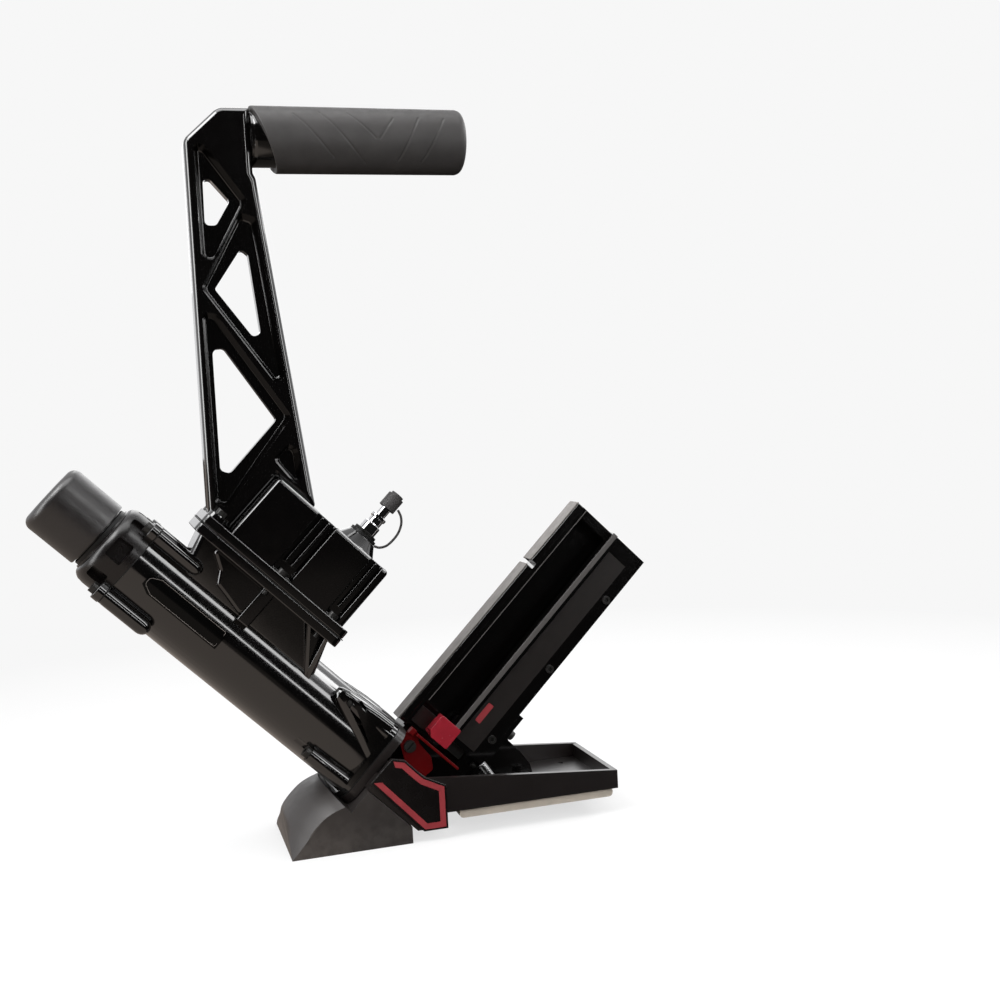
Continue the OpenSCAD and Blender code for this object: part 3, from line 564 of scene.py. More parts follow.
def add_floor():
    """Pale floor, white to the camera; its reflection fades in front and ends at the two lines."""
    low = cad_box[0].z
    radius = 14.0
    sides = 96
    turns = [2 * math.pi * k / sides for k in range(sides)]
    ring = [(radius * math.cos(turn), radius * math.sin(turn), low) for turn in turns]
    mesh = bpy.data.meshes.new("floor")
    mesh.from_pydata(ring, [], [tuple(range(sides))])
    floor = new_object("floor", mesh)
    made = bpy.data.materials.new("pale_floor")
    made.use_nodes = True
    tree = made.node_tree
    shader = tree.nodes["Principled BSDF"]
    shader.inputs["Base Color"].default_value = (0.8, 0.8, 0.8, 1)
    shader.inputs["Roughness"].default_value = 0.7
    shader.inputs["Specular IOR Level"].default_value = 0.1
    place = tree.nodes.new("ShaderNodeTexCoord").outputs["Object"]
    heading = tree.nodes.new("ShaderNodeSeparateXYZ")
    tree.links.new(place, heading.inputs[0])
    lit = ranged(tree, heading.outputs["Y"], 0, 1, FLOOR_FADE[1], FLOOR_FADE[0])
    for slope, span in FLOOR_SIDES:
        side = maths(tree, "MULTIPLY_ADD", heading.outputs["Y"], slope, heading.outputs["X"])
        lit = maths(tree, "SUBTRACT", lit, ranged(tree, side, 0, SIDE_DIMMING, *span), clamp=True)
    glow = tree.nodes.new("ShaderNodeEmission")
    feed(tree, glow.inputs["Color"], mixed(tree, lit, DARK_FRONT, FLOOR_GLOW))
    # The shadow shows under the tool and gives way to plain white further out
    reach = tree.nodes.new("ShaderNodeVectorMath")
    reach.operation = "LENGTH"
    feed(tree, reach.inputs[0], place)
    white = tree.nodes.new("ShaderNodeEmission")
    feed(tree, white.inputs["Color"], BACKDROP)
    seen = tree.nodes.new("ShaderNodeMixShader")
    share = ranged(tree, reach.outputs["Value"], FLOOR_SHARE, 0, *FLOOR_REACH)
    feed(tree, seen.inputs["Fac"], share)
    feed(tree, seen.inputs[1], white.outputs[0])
    feed(tree, seen.inputs[2], shader.outputs[0])
    chosen = camera_sees(tree, seen.outputs[0], glow.outputs[0])
    feed(tree, tree.nodes["Material Output"].inputs["Surface"], chosen)
    mesh.materials.append(made)


def add_world():
    """White to the camera; to other rays dark in front of the tool and bright around and behind it."""
    world = bpy.data.worlds.new("studio")
    bpy.context.scene.world = world
    world.use_nodes = True
    tree = world.node_tree
    back = tree.nodes["Background"]
    heading = tree.nodes.new("ShaderNodeSeparateXYZ")
    tree.links.new(tree.nodes.new("ShaderNodeTexCoord").outputs["Generated"], heading.inputs[0])
    behind = ranged(tree, heading.outputs["Y"], 0, 1, *WORLD_FADE)
    feed(tree, back.inputs["Color"], mixed(tree, behind, DARK_FRONT, WORLD_GLOW))
    seen = tree.nodes.new("ShaderNodeBackground")
    feed(tree, seen.inputs["Color"], BACKDROP)
    chosen = camera_sees(tree, seen.outputs[0], back.outputs[0])
    feed(tree, tree.nodes["World Output"].inputs["Surface"], chosen)


add_camera()
add_world()
add_floor()
tool_middle = (cad_box[0] + cad_box[1]) / 2
tube_middle = barrel(0, -30, 170)
LENGTHWISE, UPRIGHT = Vector((1, 0, 0)), Vector((0, 0, 1))
# Name, spot, direction, distance, way of the long side, length and width, power
for softbox_row in (
    ("strip_softbox", tube_middle, (0.52, -0.83, 0.17), 1.8, UP_BARREL, 1.5, 0.12, 3.5),
    ("key_softbox", tube_middle, (0.77, -0.46, 0.42), 1.8, UP_BARREL, 1.5, 0.34, 8),
    ("top_softbox", tool_middle, (-0.15, -0.1, 1.0), 1.7, LENGTHWISE, 1.8, 1.2, 18),
    ("left_softbox", tool_middle, (-0.97, -0.2, 0.25), 1.8, UPRIGHT, 1.7, 0.6, 18),
    ("upper_left_softbox", tool_middle, (-0.56, -0.25, 0.785), 1.7, ACROSS, 0.9, 0.7, 14),
    ("upper_right_softbox", tool_middle, (0.85, 0.16, 0.5), 1.8, ACROSS, 0.9, 0.6, 11),
    ("back_softbox", tool_middle, (0.3, 0.95, 0.45), 2.0, LENGTHWISE, 1.6, 1.2, 10),
):
    softbox(*softbox_row)
# Lifts matte faces and leaves the gloss of the castings dark
fill = softbox("fill_softbox", tool_middle, (-0.05, -1.0, 0.3), 2.0, LENGTHWISE, 1.6, 1.2, 25)
fill.visible_glossy = False
bpy.context.scene.view_settings.view_transform = "Standard"

# ---------------------------------------------------------------- CAD nodes kept, with their finishes

for node, shape in frame["nodes"].items():
    shape.data.materials.clear()
    shape.data.materials.append(SURFACES[SLOT_OF[node]])

# ---------------------------------------------------------------- outlines shared by several pieces


def flat(w, s):
    """Barrel position (w, s) as (x, z) in the tool's own millimetres."""
    point = barrel(w, 0, s) / MM
    return point.x, point.z


def inset(corners, amount):
    """Outline moved inwards by an amount; the corners run either way round."""
    area = sum(
        corners[i - 1][0] * corners[i][1] - corners[i][0] * corners[i - 1][1] for i in range(len(corners))
    )
    side = 1 if area > 0 else -1
    moved = []
    for corner, here, before, after in with_neighbours(corners):
        into, out = (here - before).normalized(), (after - here).normalized()
        normal0, normal1 = Vector((-into.y, into.x)) * side, Vector((-out.y, out.x)) * side
        shift = (normal0 + normal1) * (amount / (1 + normal0.dot(normal1)))
        moved.append((*(here + shift), *corner[2:]))
    return moved


def smooth_line(knots, steps=6):
    """Points of a curve that passes through the knots."""
    knots = [Vector(k) for k in knots]
    padded = [2 * knots[0] - knots[1], *knots, 2 * knots[-1] - knots[-2]]
    points = []
    for a, b, c, d in zip(padded, padded[1:], padded[2:], padded[3:]):
        for k in range(steps):
            t = k / steps
            square, cube = 2 * a - 5 * b + 4 * c - d, 3 * b - a - 3 * c + d
            points.append(tuple(0.5 * (2 * b + (c - a) * t + square * t**2 + cube * t**3)))
    return points + [tuple(knots[-1])]


# ---------------------------------------------------------------- handle

arm_low, arm_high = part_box("handle_arm")
ARM_HALF = arm_high.y / MM
ARM_X = arm_low.x / MM
# The casting's top stands a little above the CAD arm's
ARM_TOP = arm_high.z / MM + 0.6
CHAMBER_FLANGE_W = 61.5
CHAMBER_TOP_W = 113.0
CHAMBER_S0, CHAMBER_S1 = 150.0, 255.0
ARM_OUTLINE = [
    (ARM_X, flat(CHAMBER_FLANGE_W, 273.6)[1], 1),
    (*flat(CHAMBER_FLANGE_W, CHAMBER_S1 - 1), 1),
    (*flat(CHAMBER_TOP_W - 1, CHAMBER_S1 - 1), 1),
    (-148.6, 232.6, 2),
    (-177, 472.6, 8),
    (-179, 477, 4),
    (-179, ARM_TOP, 0.6),
    (-201, ARM_TOP, 10),
    (ARM_X, 500, 8),
]
# Pockets on each face, then the windows through the web at their bottom
ARM_POCKETS = [
    [(-219.5, 498, 5), (-211, 495, 4), (-184.5, 457, 5), (-208, 415, 4.5), (-219, 416, 4.5)],
    [(-191, 449, 5), (-179.5, 445, 4), (-165.5, 330, 4), (-173.5, 328, 4), (-220.5, 396, 5)],
    [(-221, 379, 5), (-211.5, 378, 5), (-162.5, 303, 5), (-184.5, 275, 3), (-188, 270.5, 3),
     (-211.5, 240, 5), (-220.5, 243, 5)],
    [(-178, 273, 4), (-166, 283.5, 5), (-159.8, 279, 5), (-157.5, 256, 4), (-163, 253, 4)],
]
ARM_WINDOWS = [
    [(-214, 472.5, 4), (-209.5, 474, 3), (-196, 458, 3), (-206.5, 441, 3.5), (-214.5, 441, 3.5)],
    [(-190.5, 424.5, 4), (-185.5, 420, 3.5), (-180, 364, 3.5), (-185.5, 361, 3.5), (-210.5, 396, 2)],
    [(-215, 353, 4), (-207, 354, 4), (-172.5, 301, 3), (-208, 264, 4), (-215, 266.5, 4)],
]
ARM_WEB = 4.6
POCKET_DRAFT, POCKET_FLARE = 2.6, 0.6
ARM_FILLET, ARM_FILLET_STEPS = 5.0, 7


def make_arm():
    """Casting with a rounded rim, drafted pockets on both faces and windows through its web."""
    rings = []
    for side in (-1, 1):
        for k in range(ARM_FILLET_STEPS + 1)[::-side]:
            turn = math.radians(90 * k / ARM_FILLET_STEPS)
            rim = rounded(inset(ARM_OUTLINE, ARM_FILLET * (1 - math.sin(turn))), 2)
            y = side * (ARM_HALF - ARM_FILLET * (1 - math.cos(turn)))
            rings.append([tool(x, y, z) for x, z in rim])
    arm = loft("arm_casting", rings)
    cutters = []
    for pocket in ARM_POCKETS:
        foot = rounded(inset(pocket, POCKET_DRAFT), 4)
        mouth = rounded(inset(pocket, -POCKET_FLARE), 4)
        for side in (-1, 1):
            cutter = frustum("pocket", foot, side * ARM_WEB, mouth, side * (ARM_HALF + 2), tool)
            cutters.append(settle(soften(cutter, 1.1, 3)))
    for window in ARM_WINDOWS:
        cutters.append(prism("window", rounded(window, 3), -ARM_HALF - 5, ARM_HALF + 5, tool))
    cut(arm, cutters)
    stand_for(soften(arm, 1.2, 3, 35), "handle_arm")


GRIP_R = 23.7
GRIP_Z = centre("grip_sleeve").z / MM
GRIP_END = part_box("grip_sleeve")[1].x / MM
# X of the sleeve's open end at mid height, and its lean to each side of that
GRIP_MOUTH_X, GRIP_MOUTH_LEAN = -170.0, -8.6
GRIP_MOUTH_LIP = 1.4
GRIP_BORE_R = 13.0
GRIP_END_R = 5.0
GRIP_COLUMNS, GRIP_ROWS, GRIP_END_STEPS = 240, 260, 8
# Moulded lines of the near side: X and the angle above the middle, at both ends
GRIP_LINES = [
    ((-149, 39), (-121, -41)),
    ((-130, 43), (-97, -54)),
    ((-110, 43), (-91, -6)),
    ((-88, -6), (-77, 32)),
    ((-74, -46), (-58, 34)),
    ((-56, -47), (-39, 33)),
]
GRIP_GROOVE = 0.5
GRIP_GROOVE_WIDTH = 0.6


def grip_relief(x, angle):
    """Depth of the moulded lines at a point; the far side repeats the near one."""
    turned = angle if abs(angle) <= 90 else math.copysign(180, angle) - angle
    depth = 0.0
    for (x0, a0), (x1, a1) in GRIP_LINES:
        start, end = Vector((x0, math.radians(a0) * GRIP_R)), Vector((x1, math.radians(a1) * GRIP_R))
        here = Vector((x, math.radians(turned) * GRIP_R))
        t = max(0.0, min(1.0, (here - start).dot(end - start) / (end - start).length_squared))
        off = (here - start.lerp(end, t)).length / GRIP_GROOVE_WIDTH
        depth = max(depth, math.exp(-off * off))
    return depth * GRIP_GROOVE


def grip_mouth(rise):
    """X of the sleeve's open end; rise is -1 at its lowest point and 1 at its highest."""
    return GRIP_MOUTH_X + GRIP_MOUTH_LEAN * rise


def grip_ring(radius, x_of):
    """Ring of the sleeve, which carries the moulded lines where it is full size."""
    points = []
    for k in range(GRIP_COLUMNS):
        angle = -180 + 360 * k / GRIP_COLUMNS
        rise = math.sin(math.radians(angle))
        x = x_of(rise)
        r = radius - (grip_relief(x, angle) if radius == GRIP_R else 0)
        points.append(tool(x, -r * math.cos(math.radians(angle)), GRIP_Z + r * rise))
    return points


def make_grip():
    rings = [
        grip_ring(GRIP_BORE_R, lambda rise: grip_mouth(rise) + 0.6),
        grip_ring(GRIP_R - GRIP_MOUTH_LIP, grip_mouth),
        grip_ring(GRIP_R - 0.4, lambda rise: grip_mouth(rise) + 0.4),
    ]
    shoulder = GRIP_END - GRIP_END_R
    for i in range(GRIP_ROWS + 1):
        t = i / GRIP_ROWS
        rings.append(grip_ring(
            GRIP_R, lambda rise, t=t: (1 - t) * (grip_mouth(rise) + GRIP_MOUTH_LIP) + t * shoulder))
    for k in range(1, GRIP_END_STEPS + 1):
        turn = math.radians(90 * k / GRIP_END_STEPS)
        x = shoulder + GRIP_END_R * math.sin(turn)
        radius = GRIP_R - 0.15 - GRIP_END_R * (1 - math.cos(turn))
        rings.append(grip_ring(radius, lambda rise, x=x: x))
    rings.append(grip_ring(3.0, lambda rise: GRIP_END - 0.2))
    stand_for(loft("rubber_grip", rings), "grip_sleeve")


GRIP_ROOT_R = 19.6
# X and half thickness of the neck, from inside the arm to inside the grip
GRIP_ROOT = (
    (-186, 7), (-182, 7), (-180, 13), (-178.6, 17), (-177, 19), (-175, GRIP_ROOT_R), (-158, GRIP_ROOT_R),
)


def make_grip_root():
    """Neck between the arm and the grip: as thick as the arm at one end, round at the other."""
    turns = [2 * math.pi * k / 72 for k in range(72)]
    rings = [
        [tool(x, half * math.cos(turn), GRIP_Z + GRIP_ROOT_R * math.sin(turn)) for turn in turns]
        for x, half in GRIP_ROOT
    ]
    ride_as(loft("grip_root", rings), "frame", "black_casting")


# ---------------------------------------------------------------- strike cap and head

CAP_S0, CAP_TOP_S, CAP_R = 320.2, 364.0, 26.0
CAP_CORNER, CAP_CORNER_STEPS = 6.5, 10


def make_cap():
    """Moulded cap: a hollow foot, straight sides and a rounded, slightly crowned top."""
    profile = [(0.2, CAP_S0 + 3), (24, CAP_S0 + 3), (24.4, CAP_S0), (25.4, CAP_S0), (25.9, CAP_S0 + 0.8)]
    profile += [(CAP_R - 0.1, CAP_S0 + 4), (CAP_R - 0.05, CAP_TOP_S - CAP_CORNER - 6)]
    for k in range(CAP_CORNER_STEPS + 1):
        turn = math.radians(90 * k / CAP_CORNER_STEPS)
        r = CAP_R - CAP_CORNER * (1 - math.cos(turn))
        profile.append((r, CAP_TOP_S - 0.4 - CAP_CORNER * (1 - math.sin(turn))))
    profile += [(12, CAP_TOP_S - 0.15), (0.2, CAP_TOP_S - 0.05)]
    stand_for(lathe("rubber_cap", profile, ENTRY, UP_BARREL, 96), "strike_cap", finish="cap_rubber")


HEAD_S = 290.8
SHOULDER_S = 316.3
HEAD_TOP_S = 324.8
HEAD_BORE_R, HEAD_NECK_R, HEAD_R = 8.05, 22.0, 32.0
# The head's shoulder: s where it starts, how far it comes in, how far it rises
DOME_S, DOME_IN, DOME_RISE = 305.0, 6.3, 10.2
HEAD_SCREW_W, HEAD_SCREW_Y = 27.0, 24.0
# Recesses round the head: degrees from the magazine's direction, half width at the foot, inner radius
HEAD_WINDOWS = (
    (-84, 15, 26.5), (-128, 10, 26.5), (84, 15, 26.5), (128, 10, 26.5), (0, 14, 26.5), (180, 14, 26.5),
    (-42, 8, 28.5), (42, 8, 28.5),
)
WINDOW_S, WINDOW_HALF = 303.2, 6.4
# Screw ears of the head and the webs that join them to it: radius, top, share of the way in
HEAD_FEET = (("ear", 6.6, 296.8, 0.62), ("web", 5.2, 295.6, 0.72))


def make_head():
    """Head casting with its recesses, screw ears and the boot round its neck."""
    profile = [(HEAD_BORE_R, HEAD_S), (HEAD_R, HEAD_S), (HEAD_R, DOME_S)]
    for k in range(9):
        turn = math.radians(90 * k / 8)
        profile.append((HEAD_R - DOME_IN * (1 - math.cos(turn)), DOME_S + DOME_RISE * math.sin(turn)))
    profile += [(25.4, SHOULDER_S), (HEAD_NECK_R, SHOULDER_S), (HEAD_NECK_R, HEAD_TOP_S)]
    profile.append((HEAD_BORE_R, HEAD_TOP_S))
    head = lathe("head_casting", profile, ENTRY, UP_BARREL, 96, bored=True)
    hub = ENTRY + UP_BARREL * (WINDOW_S * MM)
    cutters = []
    for middle, half, inner_r in HEAD_WINDOWS:
        turn = math.radians(middle)
        out = ALONG * math.cos(turn) + ACROSS * math.sin(turn)
        side = UP_BARREL.cross(out)
        corners = rounded([(half * 0.55 * i, -WINDOW_HALF) for i in (-1, 1)]
                          + [(half * 0.5 * i, WINDOW_HALF) for i in (1, -1)], 1.6)
        cutters.append(loft("window", [
            [hub + (out * reach + side * a + UP_BARREL * b) * MM for a, b in corners]
            for reach in (inner_r, HEAD_R + 13)]))
    cut(head, cutters)
    soften(head, 0.7, 3, 38)
    feet = []
    for i in (-1, 1):
        for j in (-1, 1):
            outer = barrel(i * HEAD_SCREW_W, j * HEAD_SCREW_Y, 0)
            for name, r, top_s, share in HEAD_FEET:
                inner = barrel(i * HEAD_SCREW_W * share, j * HEAD_SCREW_Y * share, 0)
                feet.append(soften(capsule(name, outer, inner, r, HEAD_S, top_s), 0.6))
    ride_as(join("head_ears", feet), "frame", "black_casting")
    boot_r, boot_top = 24.0, SHOULDER_S + 3
    boot = [(HEAD_NECK_R - 0.1, SHOULDER_S - 1), (boot_r, SHOULDER_S - 1), (boot_r, boot_top - 0.6),
            (boot_r - 0.8, boot_top), (HEAD_NECK_R - 0.1, boot_top)]
    ride_as(lathe("neck_boot", boot, ENTRY, UP_BARREL, 80, bored=True), "frame", "seal")
    stand_for(head, "head_cap", finish="satin_casting")


def capsule(name, outer, inner, r, s0, s1):
    """Tongue with round ends between two points of the barrel's base plane, from s0 up to s1."""
    way = (inner - outer).normalized()
    side = UP_BARREL.cross(way)
    ring = []
    for hub, start in ((inner, -90), (outer, 90)):
        for k in range(13):
            turn = math.radians(start + 180 * k / 12)
            ring.append(hub + (way * math.cos(turn) + side * math.sin(turn)) * r * MM)
    return loft(name, [[p + UP_BARREL * (s * MM) for p in ring] for s in (s0, s1)])


# Strap from the plug's root round to the dust cap: (w, s)
TETHER_POINTS = [
    (122.6, 164.1), (124.6, 160.2), (129, 157.2), (135.5, 156.2), (142.5, 156.8), (148.6, 159.4),
    (152.7, 163.4), (154.9, 168.4),
]
TETHER_R = 0.95


def make_tether():
    """Strap between its fixed root and the dust cap."""
    knots = [barrel(w, 0, s) for w, s in smooth_line(TETHER_POINTS, 8)]
    bridge(wire("cap_strap", knots, TETHER_R), "cap_tether")


def make_springs():
    """Coils in the head between the frame and the part that presses them, copied from their CAD nodes."""
    for node, body, pressed_from_above in (
        ("head_valve_spring", "valve", False), ("ram_spring", "striker", True),
    ):
        mesh = frame["nodes"][node].data.copy()
        mesh.name = node + "_coil"
        bridge(new_object(mesh.name, mesh), node)


# ---------------------------------------------------------------- air chamber

CHAMBER_HALF = 36.0
# Channels of each face: s, half width and depth
CHANNELS = ((209, 8.6, 7.5), (161.5, 5.6, 5.5))
# Ridges in them: s, and how far below the face each starts and ends
RIDGES = ((206.5, 8, 1.6), (212.5, 8, 1.6), (161.5, 6, 1.4))
RIDGE_HALF = 0.9
FLANGE_W0 = 54.8
# Outline (s, y) of the chamber's flange and of the pad under it
PAD_OUTLINE = [(145, -41), (262, -41), (276, -35), (276, 35), (262, 41), (145, 41)]
INLET_S = 176
INLET_BOSS = [(6.2, -3), (19, -3), (18.4, 0.2), (17, 1.6), (12.6, 7.6), (11.8, 9), (6.2, 9)]
LUG_S, LUG_Y = 268, 27
LUG = [(3, -6), (7.6, -6), (7.2, 3.4), (6.6, 4), (3, 4)]


def prism_along(name, outline, w0, w1):
    """Outline (s, y) extruded along the magazine direction."""
    return loft(name, [[barrel(w, y, s) for s, y in outline] for w in (w0, w1)])


def make_chamber():
    """Air chamber with ridged channels in both faces, its flange, inlet boss and screw lugs."""
    box = block("chamber_casting", CHAMBER_FLANGE_W - 3, CHAMBER_TOP_W, -CHAMBER_HALF, CHAMBER_HALF,
                CHAMBER_S0, CHAMBER_S1, barrel)
    settle(soften(box, 3.0, 4))
    ridge_w = (CHAMBER_FLANGE_W + 9, CHAMBER_TOP_W - 1.5)
    channel_w = (CHAMBER_FLANGE_W, CHAMBER_TOP_W + 9)
    cutters, ridges = [], []
    for side in (-1, 1):
        face = side * CHAMBER_HALF
        for s, half, depth in CHANNELS:
            outline = rounded([(channel_w[0], s - half), (channel_w[1], s - half),
                               (channel_w[1], s + half), (channel_w[0], s + half)], 1.5)
            cutters.append(frustum(
                "channel", inset(outline, 0.8), face - side * depth, outline, face + side, barrel))
        for s, foot, crest in RIDGES:
            y0, y1 = sorted((face - side * foot, face - side * crest))
            ridge = block("ridge", *ridge_w, y0, y1, s - RIDGE_HALF, s + RIDGE_HALF, barrel)
            ridges.append(soften(ridge, 0.6))
    cut(box, cutters)
    soften(box, 0.9, 3, 40)
    ride_as(join("chamber_ridges", ridges), "frame", "black_casting")
    flange = prism_along("flange", rounded(PAD_OUTLINE, 5), FLANGE_W0, CHAMBER_FLANGE_W)
    boss = lathe("inlet_boss", INLET_BOSS, barrel(CHAMBER_TOP_W, 0, INLET_S), ALONG, 72)
    lugs = [lathe("lug", LUG, barrel(CHAMBER_FLANGE_W, side * LUG_Y, LUG_S), ALONG, 40) for side in (-1, 1)]
    trim = join("chamber_flange", [soften(flange, 0.9), soften(boss, 0.5), *lugs])
    ride_as(trim, "frame", "black_casting")
    stand_for(box, "air_chamber")


# ---------------------------------------------------------------- housing and its chamber mount

BODY_R = 32.0
MOUNT_W0, MOUNT_W1 = 47.0, 54.0
HEAD_BOSS_S = 257.5
# Rounded slices of each gusset: s, w from and to, y from and to, corner radius
GUSSET = (
    (71.5, -1, 34, 12, 34, 6), (85, 5, 33.6, 14, 33.8, 6), (100, 11, 32.2, 16, 33.3, 6),
    (112, 16, 30.6, 18, 32.3, 5), (118, 19, 29, 20, 30.8, 4), (120.5, 21.5, 27.5, 22.5, 28.5, 2.5),
)
# Its slots: w, s and half width along each, then y from and to
GUSSET_SLOTS = (((25, 111, 2.6), (21, 102, 2.2), (10, 79, 0.9)), ((29, 103.5, 1.6), (26.6, 95, 1.2)))
SLOT_Y = (24, 40)

# Corners (w, s) of the thick plate on each side of the neck, and its y from and to
CHEEK = [(48, 262), (36, 243), (27, 237.5), (25, 228), (20.5, 210), (48, 206)]
CHEEK_Y = (20, 29)
# Neck: (s, y) at its foot and under the pad
NECK_FOOT = [(139, -25), (262, -25), (262, 25), (139, 25)]
NECK_TOP = [(149, -25.5), (270, -25.5), (270, 25.5), (149, 25.5)]
NECK_FOOT_W, NECK_TOP_W = 20, MOUNT_W0 + 1
RIB_W0, RIB_HALF, RIB_S = 18, 31, (201, 211)
# Fins at the neck's lower end: w, y and s at the root and at the pad, where each has its own s
FIN_ROOT_W, FIN_ROOT_Y, FIN_ROOT_S = 17, 22, (141.5, 146)
FIN_TOP_W, FIN_TOP_Y, FIN_TOP_S = MOUNT_W0 + 0.5, 32, (152, 168)
FIN_HEIGHT, FIN_THICKNESS = 3.2, 4.5


def make_mount():
    """Flange, drafted neck and ribs that carry the air chamber."""
    pad = soften(prism_along("pad", rounded(PAD_OUTLINE, 5), MOUNT_W0, MOUNT_W1), 0.9)
    neck = loft("neck", [
        [barrel(w, y, s) for s, y in rounded(outline, 5)]
        for w, outline in ((NECK_FOOT_W, NECK_FOOT), (NECK_TOP_W, NECK_TOP))])
    rib = block("rib", RIB_W0, NECK_TOP_W, -RIB_HALF, RIB_HALF, *RIB_S, barrel)
    parts = [pad, soften(neck, 1.2), soften(rib, 1.2)]
    for side in (-1, 1):
        y0, y1 = sorted(side * y for y in CHEEK_Y)
        parts.append(soften(prism("cheek", rounded(CHEEK, 4), y0, y1, barrel), 3.4, 6))
        for top_s in FIN_TOP_S:
            root = [barrel(FIN_ROOT_W, side * FIN_ROOT_Y, s) for s in FIN_ROOT_S]
            top = [barrel(FIN_TOP_W, side * FIN_TOP_Y, s) for s in (top_s, top_s + FIN_HEIGHT)]
            fin = [root[0], *top, root[1]]
            thick = ACROSS * (side * FIN_THICKNESS * MM)
            parts.append(soften(loft("fin", [fin, [p + thick for p in fin]]), 0.6))
    stand_for(join("mount_casting", parts), "chamber_mount")


BOSS_R, BOSS_RISE, BOSS_DEPTH = 6.15, 30.5, 7.0
# Room for the liner inside the gussets: radius, s from and to
BORE_R, BORE_S0, BORE_S1 = 29, 60, 140


def make_housing_trim():
    """Domed ends of the head bosses, and the slotted gussets over the foot flange."""
    dome = [(BOSS_R, BOSS_RISE), (BOSS_R, 0)]
    for angle in (15, 30, 45, 60, 75, 88):
        turn = math.radians(angle)
        dome.append((BOSS_R * math.cos(turn), -BOSS_DEPTH * math.sin(turn)))
    parts = []
    for i in (-1, 1):
        for j in (-1, 1):
            hub = barrel(i * HEAD_SCREW_W, j * HEAD_SCREW_Y, HEAD_BOSS_S)
            parts.append(lathe("boss", dome, hub, UP_BARREL, 40))
    for j in (-1, 1):
        rings = []
        for at, w0, w1, y0, y1, turn in GUSSET:
            ring = rounded([(w0, j * y0), (w1, j * y0), (w1, j * y1), (w0, j * y1)], turn)
            rings.append([barrel(w, y, at) for w, y in ring])
        gusset = settle(soften(loft("gusset", rings), 0.8, 2, 25))
        cutters = []
        for spine in GUSSET_SLOTS:
            rim = [(w - half, s) for w, s, half in spine] + [(w + half, s) for w, s, half in reversed(spine)]
            cutters.append(prism("slot", rounded(rim, 1.6), *(j * y for y in SLOT_Y), barrel))
        bore = [(0.2, BORE_S0), (BORE_R, BORE_S0), (BORE_R, BORE_S1), (0.2, BORE_S1)]
        cutters.append(lathe("bore", bore, ENTRY, UP_BARREL, 72))
        cut(gusset, cutters)
        parts.append(soften(gusset, 0.5, 2, 40))
    ride_as(join("housing_trim", parts), "frame", "black_casting")


BADGE_OUTLINE = [
    (-6.3, 210.6), (6.3, 210.6), (6.3, 268, 5), (2.6, 275.4, 3), (-2.6, 275.4, 3), (-6.3, 268, 5),
]
BADGE_R = BODY_R + 0.75


def make_badge_border():
    """Raised line round the blank name badge, bent over the housing."""
    knots = [barrel(w, -math.sqrt(BADGE_R**2 - w * w), s) for w, s in rounded(BADGE_OUTLINE, 1.2)]
    ride_as(wire("badge_border", knots, 0.3, ends=False, sides=8), "frame", "rail")


# ---------------------------------------------------------------- foot

# Radius of the crown across the shoe
SHOE_CROWN_R = 76.0
SHOE_NOSE_X, SHOE_HEEL_X, SHOE_SOLE_Z = -186.0, -98.0, -12.0
SHOE_NOSE_Z, SHOE_HEEL_Z = 4.7, 0.1
SHOE_END_W, SHOE_REAR_W, SHOE_TOP_S = -34.4, -15.5, 58.5
# Middle line of the crown from behind the nose to the flange
SHOE_CROWN = [(-70, 85.6), (-62, 87), (-50.5, 86.6), (-42, 84.2), (SHOE_END_W, 80.5)]
# How much the nose recedes for each millimetre that the crown drops
NOSE_FALL = 0.76
# Outlines on each side of the middle one
SHOE_STEPS = 8


def to_barrel(x, z):
    """Tool position (x, z) as (w, s)."""
    offset = tool(x, 0, z) - ENTRY
    return offset.dot(ALONG) / MM, offset.dot(UP_BARREL) / MM


def make_shoe():
    """Front shoe with a crown that curves along it and across it."""
    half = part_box("front_shoe")[1].y / MM
    nose_w, nose_s = to_barrel(SHOE_NOSE_X, SHOE_NOSE_Z)
    sole_front = to_barrel(SHOE_NOSE_X, SHOE_SOLE_Z)
    heel = [(SHOE_END_W, SHOE_TOP_S), (SHOE_REAR_W, SHOE_TOP_S), to_barrel(SHOE_HEEL_X, SHOE_HEEL_Z),
            to_barrel(SHOE_HEEL_X, SHOE_SOLE_Z)]
    rings = []
    for k in range(-SHOE_STEPS, SHOE_STEPS + 1):
        y = half * k / SHOE_STEPS
        drop = SHOE_CROWN_R - math.sqrt(SHOE_CROWN_R**2 - y * y)
        nose = (nose_w - NOSE_FALL * drop, nose_s - NOSE_FALL * drop)
        crown = smooth_line([nose] + [(w, s - drop) for w, s in SHOE_CROWN])
        rings.append([barrel(w, y, s) for w, s in (sole_front, *crown, *heel)])
    stand_for(soften(loft("shoe_block", rings), 1.6, 4, 36), "front_shoe")


PLATE_OUTLINE = [
    (-110.2, 52.4), (-127, 36.8), (-89.7, -4), (-71.5, -4), (-71.5, 28.3), (-87.4, 36.3), (-92.8, 41.6),
    (-100.8, 50.2),
]
BORDER_EDGE, BORDER_WIDTH, BORDER_DEPTH = 1.6, 4.2, 0.3


def make_decals():
    """Red border of each guide plate, open towards the barrel."""
    outer = inset(PLATE_OUTLINE, BORDER_EDGE)
    inner = inset(PLATE_OUTLINE, BORDER_EDGE + BORDER_WIDTH)
    band = outer[1:] + outer[:1] + inner[:1] + inner[:0:-1]
    parts = []
    for side, corner in zip((-1, 1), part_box("tongue_decals")):
        face = corner.y / MM
        parts.append(prism("border", band, face, face - side * BORDER_DEPTH, tool))
    stand_for(join("red_borders", parts), "tongue_decals")


# ---------------------------------------------------------------- magazine

RAIL_SPANS = ((37, 190), (194, 253))
RAIL_S0, RAIL_S1, STRIP_S = 59.7, 66.0, 64.8
MAGAZINE_HALF = 13.0
RAIL_HALF = 9.0
